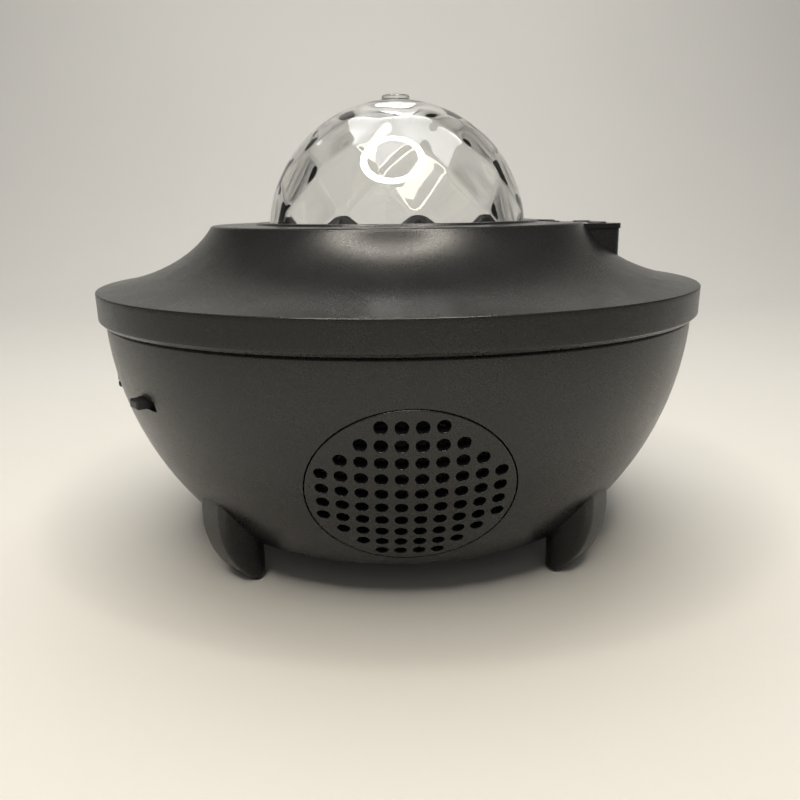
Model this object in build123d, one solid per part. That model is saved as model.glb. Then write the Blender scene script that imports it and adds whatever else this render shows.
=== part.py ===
"""Star and wave projector with a built-in loudspeaker, built as separate pieces.

A bowl on four moulded legs carries a flared cover. A clear dome, faceted inside, stands in
the flat top of the cover, over a geared wave disc and a lamp. A control pad beside the dome
holds four push buttons round the window of the star beam, and a loudspeaker looks out
through a curved grille in the bowl.

Axes: +Z up, -Y the front with the grille, +X the side with the control pad.
Origin: centre of the footprint, on the surface that the foot pads stand on.
Lengths are in millimetres. Azimuths are in degrees, from the front towards +X.
"""
from build123d import *
import os
from math import asin, atan, cos, degrees, hypot, pi, radians, sin, sqrt

os.makedirs("parts", exist_ok=True)

# ---------------------------------------------------------------- driving dimensions
# housing, from the ground up
ground_clearance = 9.5      # flat underside of the bowl above the ground
bowl_depth = 56.0           # from that underside to the lip of the bowl
groove_height = 0.8         # dark joint groove between lip and cover
groove_depth = 0.5          # slope of the bowl's top edge in the groove
skirt_chamfer = 1.0         # lower outer corner of the cover
skirt_height = 7.0          # upright band of the cover, up to its crease
skirt_draft = 0.2           # the band is this much slimmer at its foot
cover_rise = 16.2           # from the crease up to the flat top
rim_radius = 84.0           # widest part, at the crease
lip_step = 1.8              # the band stands this far outside the lip of the bowl
centre_rise = 4.6           # centre of the bowl's curve above its lip
centre_offset = 1.2         # centre of the bowl's curve beyond the vertical axis
base_round = 1.0            # softened edge of the bowl's underside
flat_top_radius = 52.6      # edge between the flat top and the flare
top_corner = 1.2            # rounding of that edge
crease_round = 0.35         # rounding of the crease
wall = 2.2                  # moulded walls of cover and bowl
rim_wall = 3.6              # thicker seat of the cover on the bowl
flare_start = (0.10, 0.33)  # first handle of the flare curve, as shares of its run and drop
flare_end = (0.38, 0.83)    # second handle of the flare curve
rib_height = 2.5            # locating rib of the bowl inside the cover
rib_wall = 1.9
rib_root = 4.0
rib_gap = 0.3               # clearance round the locating rib
bite = 0.75                 # posts reach this far into the wall that they hang from

# legs, screw towers and foot pads
leg_azimuths = (-133.5, -46.5, 46.5, 133.5)
leg_inset = 27.8            # legs stand this far inside the rim
leg_post_radius = 3.2
leg_fin = 5.0               # width of the fin outside a leg's post
leg_toe = 1.6               # foot of the fin beyond the leg's axis
leg_belly = (8.8, 8.4)      # middle of the fin's convex back: beyond the axis, above ground
leg_height = 23.0           # height at which that back has run into the bowl
leg_proud = 0.3             # step that is left there
leg_round = 0.9             # softened edges of a fin
foot_radius = 2.4
foot_thickness = 2.0
foot_proud = 0.4            # how far a rubber foot stands below its leg
foot_fit = 0.1
foot_round = 0.3            # softened edge of a rubber foot and of its post
tower_azimuths = (-135, -45, 45, 135)
tower_gap = 0.8             # between the screw towers of the cover and the optics deck
tower_radius = 4.7
tower_top = 60.0            # where bowl towers and cover towers meet
tower_bore = 3.1            # clear bore that a screw is dropped into
tower_web = 3.0             # solid end that the screw head pulls on
cover_tower_radius = 3.6
housing_screw_radius = 1.5
housing_head_radius = 2.8
housing_head_height = 2.4
housing_screw_reach = 8.0   # thread in the cover tower
screw_fit = 0.05            # clearance round a screw's shank
blind_end = 0.6             # room beyond a screw's tip
short_end = 0.3             # the same where the wall leaves less room

# dome, smooth outside and faceted inside
dome_radius = 36.7
dome_sink = 3.0             # centre of the dome's sphere below the flat top
dome_wall = 2.7             # from the smooth outside to the facet corners
dome_foot_wall = 3.7        # at the round foot, where it cuts the lowest facets off in arches
dome_sides = 11
dome_rows = (9.5, 22.5, 39.0, 57.5, 75.0)    # elevations of the rings of facet corners
dome_twist = 7.0            # azimuth of the first facet corner of the lowest ring
dome_flange = 3.4           # width of the clamped flange
dome_flange_thickness = 2.4
dome_gap = 0.3              # between the dome and its hole in the cover
gate_radius = 3.9           # stub of the moulding gate on the dome
gate_height = 1.1
gate_round = 0.4
bead_width = 3.4            # low bead round the dome's hole
bead_height = 0.6
bead_round = 0.54

# optics deck, ring gear and wave disc
deck_thickness = 2.5
deck_rim = 1.5              # the deck reaches this far beyond the dome's flange
deck_screw_circle = 44.8
deck_screw_azimuths = (-150, -90, -30, 30, 150)   # the control box takes the sixth place
deck_boss_radius = 3.1
deck_ear_radius = 3.4
small_screw_radius = 1.1
small_head_radius = 2.1
small_head_height = 1.6
head_chamfer = 0.5
gear_module = 1.0
ring_gear_teeth = 60
pinion_teeth = 12
gear_addendum = 0.7         # of the module: short teeth, which spare the small pinion an undercut
pressure_angle = 20.0
backlash = 0.16             # thinning of each tooth at the pitch circle
gear_face = 4.0             # width of the teeth
journal_radius = 25.0       # ring gear's journal in the deck's collar
journal_wall = 2.4
running_clearance = 0.08    # radial, of every turning fit
collar_depth = 3.0
collar_wall = 2.5
end_float = 0.2             # free play along the axis of turning pieces
wave_disc_thickness = 2.6
wave_disc_fit = 0.1
ring_bore = 21.0
swell_depth = 0.52          # ripples of the wave disc's upper face
swell_rings = 5

# lamp under the wave disc
lamp_post_circle = 36.5     # circle of the deck's three posts
lamp_post_azimuths = (-120, 0, 120)
lamp_post_radius = 3.5
lamp_plate_rim = 1.0
lamp_plate_thickness = 2.5
lamp_room = 3.7             # rim of the lens holder above the lamp plate
holder_floor = 1.5
holder_rim_radius = 26.0
holder_wall = 2.2
lens_radius = 14.0
lens_edge = 1.5
lens_height = 5.4
lens_fit = 0.1
lens_lip = 1.0              # the lens rests on this much of the holder's floor
led_board_radius = 15.4
led_board_gap = 0.5
board_thickness = 1.6
emitter_size = 3.4
emitter_height = 1.4
emitter_spacing = 5.2
emitter_lens = 1.45         # radius of a lamp chip's round lens
sink_radius = 23.0
sink_base = 4.0
sink_fin_height = 14.0
sink_fin = 1.5
sink_pitch = 4.4
lamp_screw_circle = 20.4
lamp_screw_azimuths = (-60, 60, 180)

# geared motor of the wave disc
motor_azimuth = 180.0
motor_radius = 8.0
motor_length = 19.0
motor_ear_spacing = 20.4
motor_ear_radius = 2.8
motor_ear_thickness = 1.5
motor_lobe = 13.4           # lobe of the lamp plate over the motor
motor_collar_radius = 3.5   # bearing collar of the motor, through the lamp plate
shaft_radius = 1.0
shaft_depth = 8.0           # shaft inside a motor
pinion_hub_radius = 3.2

# control pad and star window
pad_length = 32.6           # along Y
pad_width = 19.6            # along X
pad_gap = 1.4               # flat top between the dome's bead and the control plate
pad_corner = 2.8
plate_thickness = 1.4
plate_drop = 0.5            # the plate lies this much below the flat top
plate_overhang = 0.4        # plate beyond the wall under it
plate_fit = 0.15
roof_thickness = 1.8
pad_wall = 1.8
window_radius = 4.5
window_ledge = 0.8
window_fit = 0.1
button_radius = 2.6
button_flange = 0.6         # flange beyond the button's head
button_flange_height = 1.0
button_proud = 0.3
button_gap = 0.15
button_spacing_x = 9.2
button_spacing_y = 16.8
button_travel = 0.6
stem_radius = 1.6
stem_gap = 0.1
tact_size = 4.5
tact_height = 3.8
tact_corner = 0.4
tact_clearance = 1.0        # room between the switches and the roof
tact_bore_depth = 1.6
button_board_gap = 0.3      # between the button board and the box round it
button_board_screw_y = 11.9
button_board_boss = 2.0
beam_hole = 4.2

# star unit under the control pad
laser_radius = 4.5
laser_length = 20.0
laser_chamfer = 0.5
laser_lens_radius = 2.2
laser_lens_depth = 1.2
grating_radius = 12.6
grating_thickness = 1.2
grating_hub_radius = 2.6
grating_hub_height = 1.0
grating_offset = 9.9        # grating axle beside the laser
grating_drop = 16.0         # grating below the control plate
laser_gap = 1.0             # between laser and grating
star_motor_radius = 5.0
star_motor_length = 12.0
star_motor_gap = 2.0        # between motor and grating
seat_fit = 0.05             # pieces pushed into a seat
bracket_thickness = 2.5
bracket_half_width = 6.6
bracket_front_post = -18.8
bracket_back_post = 27.0
bracket_post_radius = 3.0
bracket_depth = 10.0        # bracket below the laser's top

# loudspeaker and grille
speaker_tilt = 27.3         # the speaker looks this far below the horizontal
grille_radius = 23.6
grille_gap = 0.35
grille_hole_radius = 1.5
grille_pitch = 4.37
grille_rows = (4, 6, 8, 10, 10, 10, 10, 8, 6, 4)
grille_rim = 1.2
speaker_setback = 8.73      # the speaker's seat lies this far inside the bowl's curve
speaker_flange_radius = 26.9
seat_ring_radius = 28.6
gasket_thickness = 0.8
gasket_inner_radius = 22.5
frame_thickness = 1.2
frame_inner_radius = 20.8
basket_depth = 12.0
basket_foot_radius = 12.0
basket_wall = 1.0
basket_window = 9.0
magnet_radius = 14.0
magnet_height = 8.0
coil_slot_outer = 7.6
coil_slot_inner = 6.0
coil_slot_depth = 4.4
coil_radius = 6.9
coil_wall = 0.5
coil_reach = 2.5            # coil inside the magnet's slot
cone_radius = 17.4
cone_depth = 7.0
cone_wall = 0.6
cone_rise = 0.3             # rim of the cone in front of the frame
cap_height = 2.2
surround_gap = 0.35
surround_roll = 1.2
surround_sheet = 0.5
surround_outer_radius = 22.1
speaker_screw_circle = 25.3
speaker_screw_azimuths = (45, 135, 225, 315)
speaker_screw_reach = 2.3

# main board with its sockets
port_azimuth = -82.9        # the sockets' edge of the main board looks this way
port_height = 54.4          # centre of the USB socket
main_board_length = 30.0
board_setback = 5.14        # the board's edge lies this far behind the USB socket's mouth
main_board_half = 22.0
board_post_radius = 3.0
board_screw_inset = 3.2
board_screw_room = 0.8      # between the outer screw heads and the sockets
board_screw_reach = 5.0
chip_height = 1.5
sound_chip_length = 10.0
sound_chip_width = 7.0
sound_chip_place = 10.0     # its middle, beyond the board's near edge
driver_chip_size = 6.0
driver_chip_aside = 14.0    # beside the board's middle
radio_chip_size = 4.5
radio_chip_place = 20.5
capacitor_radius = 2.8
capacitor_height = 7.5
capacitor_round = 0.4
capacitor_place = 4.5       # two of them, beyond the board's near edge
capacitor_aside = 9.0
supply_place = 12.5         # the third one
supply_aside = -12.0
usb_offset = 12.5
usb_width = 13.2
usb_height = 5.7
usb_shell = 0.4
usb_length = 14.0
usb_tongue = 1.9
usb_tongue_width = 11.0
usb_tongue_length = 9.0
usb_back = 2.0
port_gap = 0.25
port_recess = 0.2           # mouths behind the nearest point of the bowl's surface
jack_offset = -13.0
jack_size = 9.0
jack_length = 9.0
jack_nose_length = 5.43
jack_nose_radius = 4.0
jack_bore = 2.85
jack_pin = 1.0
jack_bore_depth = 9.5
jack_pin_recess = 1.0       # pin behind the socket's mouth
led_radius = 1.0
led_collar = 1.1
led_drop = 5.2              # indicator below the USB socket's centre
led_round = 0.7
led_proud = 0.8
led_gap = 0.1

# slide switch
switch_azimuth = -51.3
switch_height = 49.9
switch_slot_width = 9.0
switch_slot_height = 2.8
knob_width = 4.2
knob_height = 2.2
knob_proud = 2.6
knob_gap = 0.15
knob_round = 0.5
switch_travel = 4.0
switch_ear_reach = 10.4
switch_screw_spacing = 16.0
switch_body_width = 11.4
switch_body_height = 5.6
switch_body_depth = 5.5
switch_flange = 0.8
switch_post_radius = 2.4
switch_seat = 2.4           # length of the two switch posts inside the wall
switch_screw_reach = 3.4

# ---------------------------------------------------------------- derived levels
lip_z = ground_clearance + bowl_depth
joint_z = lip_z + groove_height
skirt_z = joint_z + skirt_chamfer
crease_z = skirt_z + skirt_height
top_z = crease_z + cover_rise
skirt_radius = rim_radius - skirt_draft
lip_radius = skirt_radius - lip_step
centre_z = lip_z + centre_rise
bowl_curve = hypot(lip_radius + centre_offset, centre_rise)
leg_bottom = foot_proud
leg_axis_radius = rim_radius - leg_inset
speaker_seat = bowl_curve - speaker_setback

underside_z = top_z - wall
deck_top = underside_z - dome_flange_thickness
deck_bottom = deck_top - deck_thickness
deck_radius = dome_radius + dome_flange + deck_rim
tower_circle = deck_radius + tower_gap + cover_tower_radius
dome_centre_z = top_z - dome_sink
collar_bottom = deck_bottom - collar_depth
gear_top = collar_bottom - end_float
gear_bottom = gear_top - gear_face
lamp_plate_top = gear_bottom - end_float - lamp_room
lamp_plate_bottom = lamp_plate_top - lamp_plate_thickness
gear_distance = gear_module * (ring_gear_teeth + pinion_teeth) / 2

plate_top = top_z - plate_drop
plate_bottom = plate_top - plate_thickness
roof_bottom = plate_bottom - roof_thickness
pad_x = dome_radius + dome_gap + bead_width + pad_gap + pad_width / 2
tact_top = roof_bottom - tact_clearance
button_board_top = tact_top - tact_height
grating_z = plate_top - grating_drop
laser_top = grating_z - laser_gap
bracket_top = laser_top - bracket_depth
star_motor_top = grating_z - star_motor_gap

frame_front = speaker_seat - gasket_thickness
frame_back = frame_front - frame_thickness
basket_back = frame_back - basket_depth

main_board_top = port_height - usb_height / 2
main_board_bottom = main_board_top - board_thickness

# ---------------------------------------------------------------- helpers
UP = (Align.CENTER, Align.CENTER, Align.MIN)
FAR = 2 * rim_radius        # longer than any cut needs
PAST = 1.0                  # cuts run this far past the face that they open


def rod(radius, low, high, x=0.0, y=0.0):
    """Upright round bar between two heights."""
    return Pos(x, y, low) * Cylinder(radius, high - low, align=UP)


def tube(outer, inner, low, high, x=0.0, y=0.0):
    """Upright round tube between two heights."""
    return rod(outer, low, high, x, y) - rod(inner, low, high, x, y)


def block(x_range, y_range, z_range):
    """Box given by its limits along each axis."""
    limits = (x_range, y_range, z_range)
    middle = [(low + high) / 2 for low, high in limits]
    size = [high - low for low, high in limits]
    return Pos(*middle) * Box(*size)


def turned(*corners):
    """Solid turned about the vertical axis from corner points (radius, height)."""
    return turned_outline(Polyline(*corners, close=True))


def turned_outline(outline):
    """Solid turned about the vertical axis from a closed outline (radius, height)."""
    return revolve(Plane.XZ * make_face(outline), Axis.Z)


def upright(plan, low, high):
    """Plan outline extruded between two heights."""
    return Pos(0, 0, low) * extrude(plan, high - low)


def on_circle(radius, azimuth):
    """Point on a circle, with its azimuth counted from the front towards +X."""
    angle = radians(azimuth)
    return radius * sin(angle), -radius * cos(angle)


def facing(azimuth):
    """Frame of a port: local X sideways, local Y up, local Z outwards at this azimuth."""
    angle = radians(azimuth)
    return Plane(origin=(0, 0, 0), x_dir=(cos(angle), sin(angle), 0),
                 z_dir=(sin(angle), -cos(angle), 0))


def beside_port(outward, sideways):
    """Plan position of a point of the main board, from its distance out and to the side."""
    angle = radians(port_azimuth)
    return outward * sin(angle) + sideways * cos(angle), -outward * cos(angle) + sideways * sin(angle)


def group(shapes):
    """Separate solids kept as one node."""
    return Compound(children=[solid for shape in shapes for solid in shape.solids()])


def screw(head_radius, head_height, shank_radius, length):
    """Pan-head screw: the bearing face of its head at height 0 and its shank along +Z."""
    head = rod(head_radius, -head_height, 0)
    head = chamfer(head.edges().group_by(Axis.Z)[0], head_chamfer)
    return head + rod(shank_radius, 0, length)


def small_screw(length):
    """Small self-tapping screw of the inner pieces."""
    return screw(small_head_radius, small_head_height, small_screw_radius, length)


def small_hole(low, high, x=0.0, y=0.0):
    """Hole for a small screw."""
    return rod(small_screw_radius + screw_fit, low, high, x, y)


def gear(teeth):
    """Spur gear whose involute flanks unwind from the base circle."""
    pitch = gear_module * teeth / 2
    base = pitch * cos(radians(pressure_angle))
    root = pitch - 1.25 * gear_module
    tip = pitch + gear_addendum * gear_module
    start = max(base, root)

    def unwound(radius):
        length = sqrt(max((radius / base) ** 2 - 1, 0))
        return length - atan(length)

    at_pitch = pi / (2 * teeth) - backlash / (2 * pitch) + unwound(pitch)
    flank = [(radius, at_pitch - unwound(radius)) for radius in (start, pitch, tip)]
    if base > root:
        flank.insert(0, (root, flank[0][1]))
    corners = []
    for tooth in range(teeth):
        middle = 2 * pi * tooth / teeth
        corners += [(r * cos(middle - half), r * sin(middle - half)) for r, half in flank]
        corners += [(r * cos(middle + half), r * sin(middle + half)) for r, half in reversed(flank)]
    return extrude(make_face(Polyline(*corners, close=True)), gear_face)


def save(name, shape):
    """Write one node of the assembly."""
    export_step(shape, f"parts/{name}.step")


# ---------------------------------------------------------------- housing
def bowl_radius(height, inset=0.0):
    """Radius of the bowl at a height, on a surface inset from its outside."""
    return sqrt((bowl_curve - inset) ** 2 - (centre_z - height) ** 2) - centre_offset


def bowl_form(inset, low):
    """Solid inside the bowl's curve, inset from its outside, from a height up to the lip."""
    middle = (low + lip_z) / 2
    foot, belly, lip = [(bowl_radius(height, inset), height) for height in (low, middle, lip_z)]
    return turned_outline(ThreePointArc(foot, belly, lip) + Polyline(lip, (0, lip_z), (0, low), foot))


def flare_form(edge, foot, base):
    """Solid under a flat top and a concave flare, between the corners edge, foot and base."""
    run = foot[0] - edge[0]
    drop = edge[1] - foot[1]
    handles = [(edge[0] + run * along, edge[1] - drop * down) for along, down in (flare_start, flare_end)]
    flare = Bezier(edge, *handles, foot)
    return turned_outline(flare + Polyline(foot, base, (0, base[1]), (0, edge[1]), edge))


def cover_form():
    """Cover as a full solid."""
    return flare_form((flat_top_radius, top_z), (rim_radius, crease_z), (skirt_radius, joint_z))


def cover_room(bottom, growth=0.0):
    """Room inside the cover, down to a height; growth makes it reach into the walls."""
    inner = rim_radius - rim_wall
    return flare_form((flat_top_radius - wall / 2, underside_z + growth), (inner, crease_z - wall + growth),
                      (inner, bottom))


def cover_post(radius, bottom, x, y):
    """Post that hangs from the inner face of the cover."""
    return rod(radius, bottom, top_z, x, y) & cover_room(bottom, bite)


def pad_form(growth, low, high):
    """Block with the control plate's outline, grown by a margin, between two heights."""
    plan = RectangleRounded(pad_width + 2 * growth, pad_length + 2 * growth, pad_corner + growth)
    return Pos(pad_x, 0, 0) * upright(plan, low, high)


def button_places():
    """Centres of the four push buttons, round the star window."""
    half_x = button_spacing_x / 2
    half_y = button_spacing_y / 2
    return [(pad_x + side * half_x, end * half_y) for end in (-1, 1) for side in (-1, 1)]


def button_board_screws():
    """Plan places of the two screws of the button board."""
    return [(pad_x, end * button_board_screw_y) for end in (-1, 1)]


def bracket_posts():
    """Plan places of the two posts that carry the star bracket."""
    return [(pad_x, bracket_front_post), (pad_x, bracket_back_post)]


def make_top_cover():
    """Flared cover with the dome's hole, the box of the control pad and its screw towers."""
    body = cover_form()
    body = fillet(body.edges().filter_by(GeomType.CIRCLE).group_by(Axis.Z)[-1], top_corner)
    crease = [edge for edge in body.edges() if abs(edge.center().Z - crease_z) < crease_round]
    body = fillet(crease, crease_round)
    body = chamfer(body.edges().filter_by(GeomType.CIRCLE).group_by(Axis.Z)[0], skirt_chamfer)
    bead = rod(dome_radius + dome_gap + bead_width, underside_z, top_z + bead_height)
    bead = fillet(bead.edges().group_by(Axis.Z)[-1], bead_round)
    body = body + bead + pad_form(-plate_overhang, joint_z, plate_bottom) - cover_room(joint_z)
    body += pad_form(-plate_overhang, roof_bottom, plate_bottom)
    body -= pad_form(-plate_overhang - pad_wall, joint_z, roof_bottom)
    body -= pad_form(plate_fit, plate_bottom, top_z + PAST)

    hole = small_screw_radius + screw_fit
    for x, y in tower_places():
        body += cover_post(cover_tower_radius, tower_top, x, y)
        thread_end = tower_top + housing_screw_reach + blind_end
        body -= rod(housing_screw_radius + screw_fit, tower_top, thread_end, x, y)
    for azimuth in deck_screw_azimuths:
        x, y = on_circle(deck_screw_circle, azimuth)
        body += cover_post(deck_boss_radius, deck_top, x, y)
        body -= rod(hole, deck_top, underside_z + bite, x, y)
    for x, y in bracket_posts():
        body += cover_post(bracket_post_radius, bracket_top, x, y)
        body -= small_hole(bracket_top, bracket_top + board_screw_reach + blind_end, x, y)
    for x, y in button_board_screws():
        body += rod(button_board_boss, button_board_top, roof_bottom, x, y)
        body -= small_hole(button_board_top, roof_bottom - blind_end, x, y)

    body -= rod(dome_radius + dome_gap, underside_z - PAST, top_z + 2 * bead_height)
    body -= rod(window_radius - window_ledge, roof_bottom, plate_bottom, pad_x, 0)
    for x, y in button_places():
        body -= rod(button_radius + button_flange + button_gap, roof_bottom, plate_bottom, x, y)
    return body


def speaker_frame_of(shape):
    """Place a shape that was turned about Z on the speaker's axis."""
    tilt = radians(speaker_tilt)
    return Plane(origin=(0, 0, centre_z), x_dir=(1, 0, 0), z_dir=(0, -cos(tilt), -sin(tilt))) * shape


def tower_places():
    """Plan places of the screw towers, close round the optics deck."""
    return [on_circle(tower_circle, azimuth) for azimuth in tower_azimuths]


def make_leg():
    """Leg: a round post with a bore for its foot, and a fin with a convex back."""
    axis = leg_axis_radius
    toe = (axis + leg_toe, leg_bottom)
    belly = (axis + leg_belly[0], leg_belly[1])
    top = (bowl_radius(leg_height) + leg_proud, leg_height)
    side = ThreePointArc(toe, belly, top) + Polyline(top, (axis, leg_height), (axis, leg_bottom), toe)
    fin = extrude(Plane.XZ * make_face(side), leg_fin / 2, both=True)
    back = [edge for edge in fin.edges().filter_by(GeomType.CIRCLE) if edge.center().X > toe[0]]
    fin = fillet(back, leg_round)
    post = rod(leg_post_radius, leg_bottom, leg_height, axis)
    post = fillet(post.edges().group_by(Axis.Z)[0], foot_round)
    return post + fin - rod(foot_radius + foot_fit, 0, foot_thickness, axis)


def make_lower_shell():
    """Bowl with legs, screw towers, speaker seat, board posts and all its openings."""
    body = bowl_form(0, ground_clearance)
    body = fillet(body.edges().filter_by(GeomType.CIRCLE).group_by(Axis.Z)[0], base_round)
    body += turned((0, lip_z), (lip_radius, lip_z), (lip_radius - groove_depth, joint_z), (0, joint_z))
    leg = make_leg()
    for azimuth in leg_azimuths:
        body += Rot(0, 0, azimuth - 90) * leg
    body -= bowl_form(wall, ground_clearance + wall)
    body -= rod(bowl_radius(lip_z, wall), lip_z, joint_z)
    rib = rim_radius - rim_wall - rib_gap
    body += tube(rib, rib - rib_wall, joint_z - rib_root, joint_z + rib_height)

    solid_bowl = bowl_form(0, ground_clearance)
    seat_ring = tube(seat_ring_radius, grille_radius + grille_gap, speaker_seat, FAR)
    body += speaker_frame_of(seat_ring) & solid_bowl
    for x, y in main_board_corners():
        body += rod(board_post_radius, ground_clearance, main_board_bottom, x, y) & solid_bowl
        body -= small_hole(main_board_bottom - board_screw_reach - blind_end, main_board_bottom, x, y)
    body += (facing(switch_azimuth) * switch_posts(switch_post_radius, switch_plane(), FAR)) & solid_bowl
    for x, y in tower_places():
        body += rod(tower_radius, ground_clearance, tower_top, x, y)
        body -= rod(tower_bore, ground_clearance, tower_top - tower_web, x, y)
        body -= rod(housing_screw_radius + screw_fit, ground_clearance, tower_top, x, y)

    body -= speaker_frame_of(rod(grille_radius + grille_gap, speaker_seat, FAR))
    reach = speaker_seat + speaker_screw_reach + short_end
    for x, y in speaker_screws():
        body -= speaker_frame_of(small_hole(speaker_seat, reach, x, y))
    reach = switch_plane() + switch_screw_reach + short_end
    body -= facing(switch_azimuth) * switch_posts(small_screw_radius + screw_fit, switch_plane(), reach)
    slot = (-switch_slot_width / 2, switch_slot_width / 2)
    rise = (switch_height - switch_slot_height / 2, switch_height + switch_slot_height / 2)
    body -= facing(switch_azimuth) * block(slot, rise, (switch_plane(), FAR))
    return body - facing(port_azimuth) * port_cuts()


def make_feet():
    """Rubber foot in each leg's post."""
    foot = rod(foot_radius, 0, foot_thickness)
    foot = fillet(foot.edges().group_by(Axis.Z)[0], foot_round)
    return group([Pos(*on_circle(leg_axis_radius, azimuth), 0) * foot for azimuth in leg_azimuths])


def make_housing_screws():
    """Long-reach screws dropped into the towers of the bowl, threaded into the cover."""
    length = tower_web + housing_screw_reach
    piece = screw(housing_head_radius, housing_head_height, housing_screw_radius, length)
    seat = tower_top - tower_web
    return group([Pos(x, y, seat) * piece for x, y in tower_places()])


# ---------------------------------------------------------------- dome and its deck
def ring_of(radius, height, twist):
    """Facet corners evenly round the axis."""
    return [Vector(*on_circle(radius, twist + 360 / dome_sides * side), height) for side in range(dome_sides)]


def facet(*corners):
    """Flat face between corner points."""
    return Face(Wire.make_polygon(corners))


def facet_form():
    """Room inside the dome: flat triangles between rings of corners, the lowest run on down to the foot."""
    corner_radius = dome_radius - dome_wall
    half_step = 180 / dome_sides
    levels = []
    rings = []
    for row, elevation in enumerate(dome_rows):
        angle = radians(elevation)
        levels.append((corner_radius * cos(angle), dome_centre_z + corner_radius * sin(angle)))
        rings.append(ring_of(*levels[-1], dome_twist - half_step * (row % 2)))
    (low_radius, low), (next_radius, following) = levels[:2]
    flat = cos(radians(half_step))
    lean = (next_radius - low_radius * flat) / (following - low)
    spread = low_radius + lean * (deck_top - low) / flat
    foot = ring_of(spread, deck_top, dome_twist)

    faces = [facet(*foot), facet(*rings[-1])]
    for side in range(dome_sides):
        after = (side + 1) % dome_sides
        faces.append(facet(foot[side], foot[after], rings[0][after], rings[0][side]))
        for row, (lower, upper) in enumerate(zip(rings, rings[1:])):
            above = side if row % 2 else after
            beyond = (above + 1) % dome_sides
            faces.append(facet(lower[side], lower[after], upper[above]))
            faces.append(facet(upper[above], lower[after], upper[beyond]))
    return Part() + Solid(Shell(faces))


def make_crystal_dome():
    """Clear dome with a smooth round outside, flat facets inside and the stub of its gate."""
    crown = dome_centre_z + dome_radius
    body = Pos(0, 0, dome_centre_z) * Sphere(dome_radius) & rod(dome_radius, dome_centre_z, crown)
    body += rod(dome_radius, deck_top, dome_centre_z)
    gate = rod(gate_radius, crown - PAST, crown + gate_height)
    body += fillet(gate.edges().group_by(Axis.Z)[-1], gate_round)
    body += rod(dome_radius + dome_flange, deck_top, underside_z)
    return body - (facet_form() & rod(dome_radius - dome_foot_wall, deck_top, crown))


def make_optics_deck():
    """Black deck that clamps the dome and carries the wave disc's collar and the lamp posts."""
    body = rod(deck_radius, deck_bottom, deck_top)
    half = deck_ear_radius
    ear = block((dome_radius, deck_screw_circle), (-half, half), (deck_bottom, deck_top))
    ear += rod(half, deck_bottom, deck_top, deck_screw_circle)
    ear -= small_hole(deck_bottom, deck_top, deck_screw_circle)
    for azimuth in deck_screw_azimuths:
        body += Rot(0, 0, azimuth - 90) * ear
    bore = journal_radius + running_clearance
    body += rod(bore + collar_wall, collar_bottom, deck_bottom)
    for azimuth in lamp_post_azimuths:
        x, y = on_circle(lamp_post_circle, azimuth)
        body += rod(lamp_post_radius, lamp_plate_top, deck_bottom, x, y)
        body -= small_hole(lamp_plate_top, lamp_plate_top + board_screw_reach + blind_end, x, y)
    return body - rod(bore, collar_bottom, deck_top)


def make_deck_screws():
    """Screws that pull the deck and the dome up against the cover."""
    piece = small_screw(deck_thickness + dome_flange_thickness)
    places = [on_circle(deck_screw_circle, azimuth) for azimuth in deck_screw_azimuths]
    return group([Pos(x, y, deck_bottom) * piece for x, y in places])


def make_ring_gear():
    """Toothed ring that turns in the deck's collar and carries the wave disc."""
    body = Pos(0, 0, gear_bottom) * gear(ring_gear_teeth)
    body += rod(journal_radius, gear_top, deck_top - end_float)
    body -= rod(ring_bore, gear_bottom, gear_top)
    return body - rod(journal_radius - journal_wall, gear_top, deck_top)


def make_wave_disc():
    """Clear disc with a rippled upper face: shallow swells in rings."""
    radius = journal_radius - journal_wall - wave_disc_fit
    step = radius / (2 * swell_rings)
    top = gear_top + wave_disc_thickness
    crest = [(step * place, top - (swell_depth if place % 2 else 0)) for place in range(2 * swell_rings + 1)]
    ripple = Spline(*crest, tangents=[(1, 0), (1, 0)])
    return turned_outline(ripple + Polyline(crest[-1], (radius, gear_top), (0, gear_top), crest[0]))


# ---------------------------------------------------------------- lamp
def motor_place():
    """Axis of the wave disc's motor, one gear distance from the middle."""
    return on_circle(gear_distance, motor_azimuth)


def motor_screws():
    """Plan places of the two screws of the wave motor, either side of its axis."""
    x, y = motor_place()
    angle = radians(motor_azimuth)
    half = motor_ear_spacing / 2
    return [(x + side * half * cos(angle), y + side * half * sin(angle)) for side in (-1, 1)]


def lamp_screws():
    """Plan places of the three screws through lens holder, lamp plate and heat sink."""
    return [on_circle(lamp_screw_circle, azimuth) for azimuth in lamp_screw_azimuths]


def lamp_posts():
    """Plan places of the posts that carry the lamp plate."""
    return [on_circle(lamp_post_circle, azimuth) for azimuth in lamp_post_azimuths]


def make_lamp_plate():
    """Plate under the wave disc, with a lobe for the motor."""
    reach = lamp_post_circle + lamp_post_radius + lamp_plate_rim
    body = rod(reach, lamp_plate_bottom, lamp_plate_top)
    body += rod(motor_lobe, lamp_plate_bottom, lamp_plate_top, *motor_place())
    body -= rod(led_board_radius + led_board_gap, lamp_plate_bottom, lamp_plate_top)
    body -= rod(motor_collar_radius + seat_fit, lamp_plate_bottom, lamp_plate_top, *motor_place())
    for x, y in lamp_screws() + lamp_posts() + motor_screws():
        body -= small_hole(lamp_plate_bottom, lamp_plate_top, x, y)
    return body


def make_lamp_plate_screws():
    """Screws up into the deck's posts."""
    piece = small_screw(lamp_plate_thickness + board_screw_reach)
    return group([Pos(x, y, lamp_plate_bottom) * piece for x, y in lamp_posts()])


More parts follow.
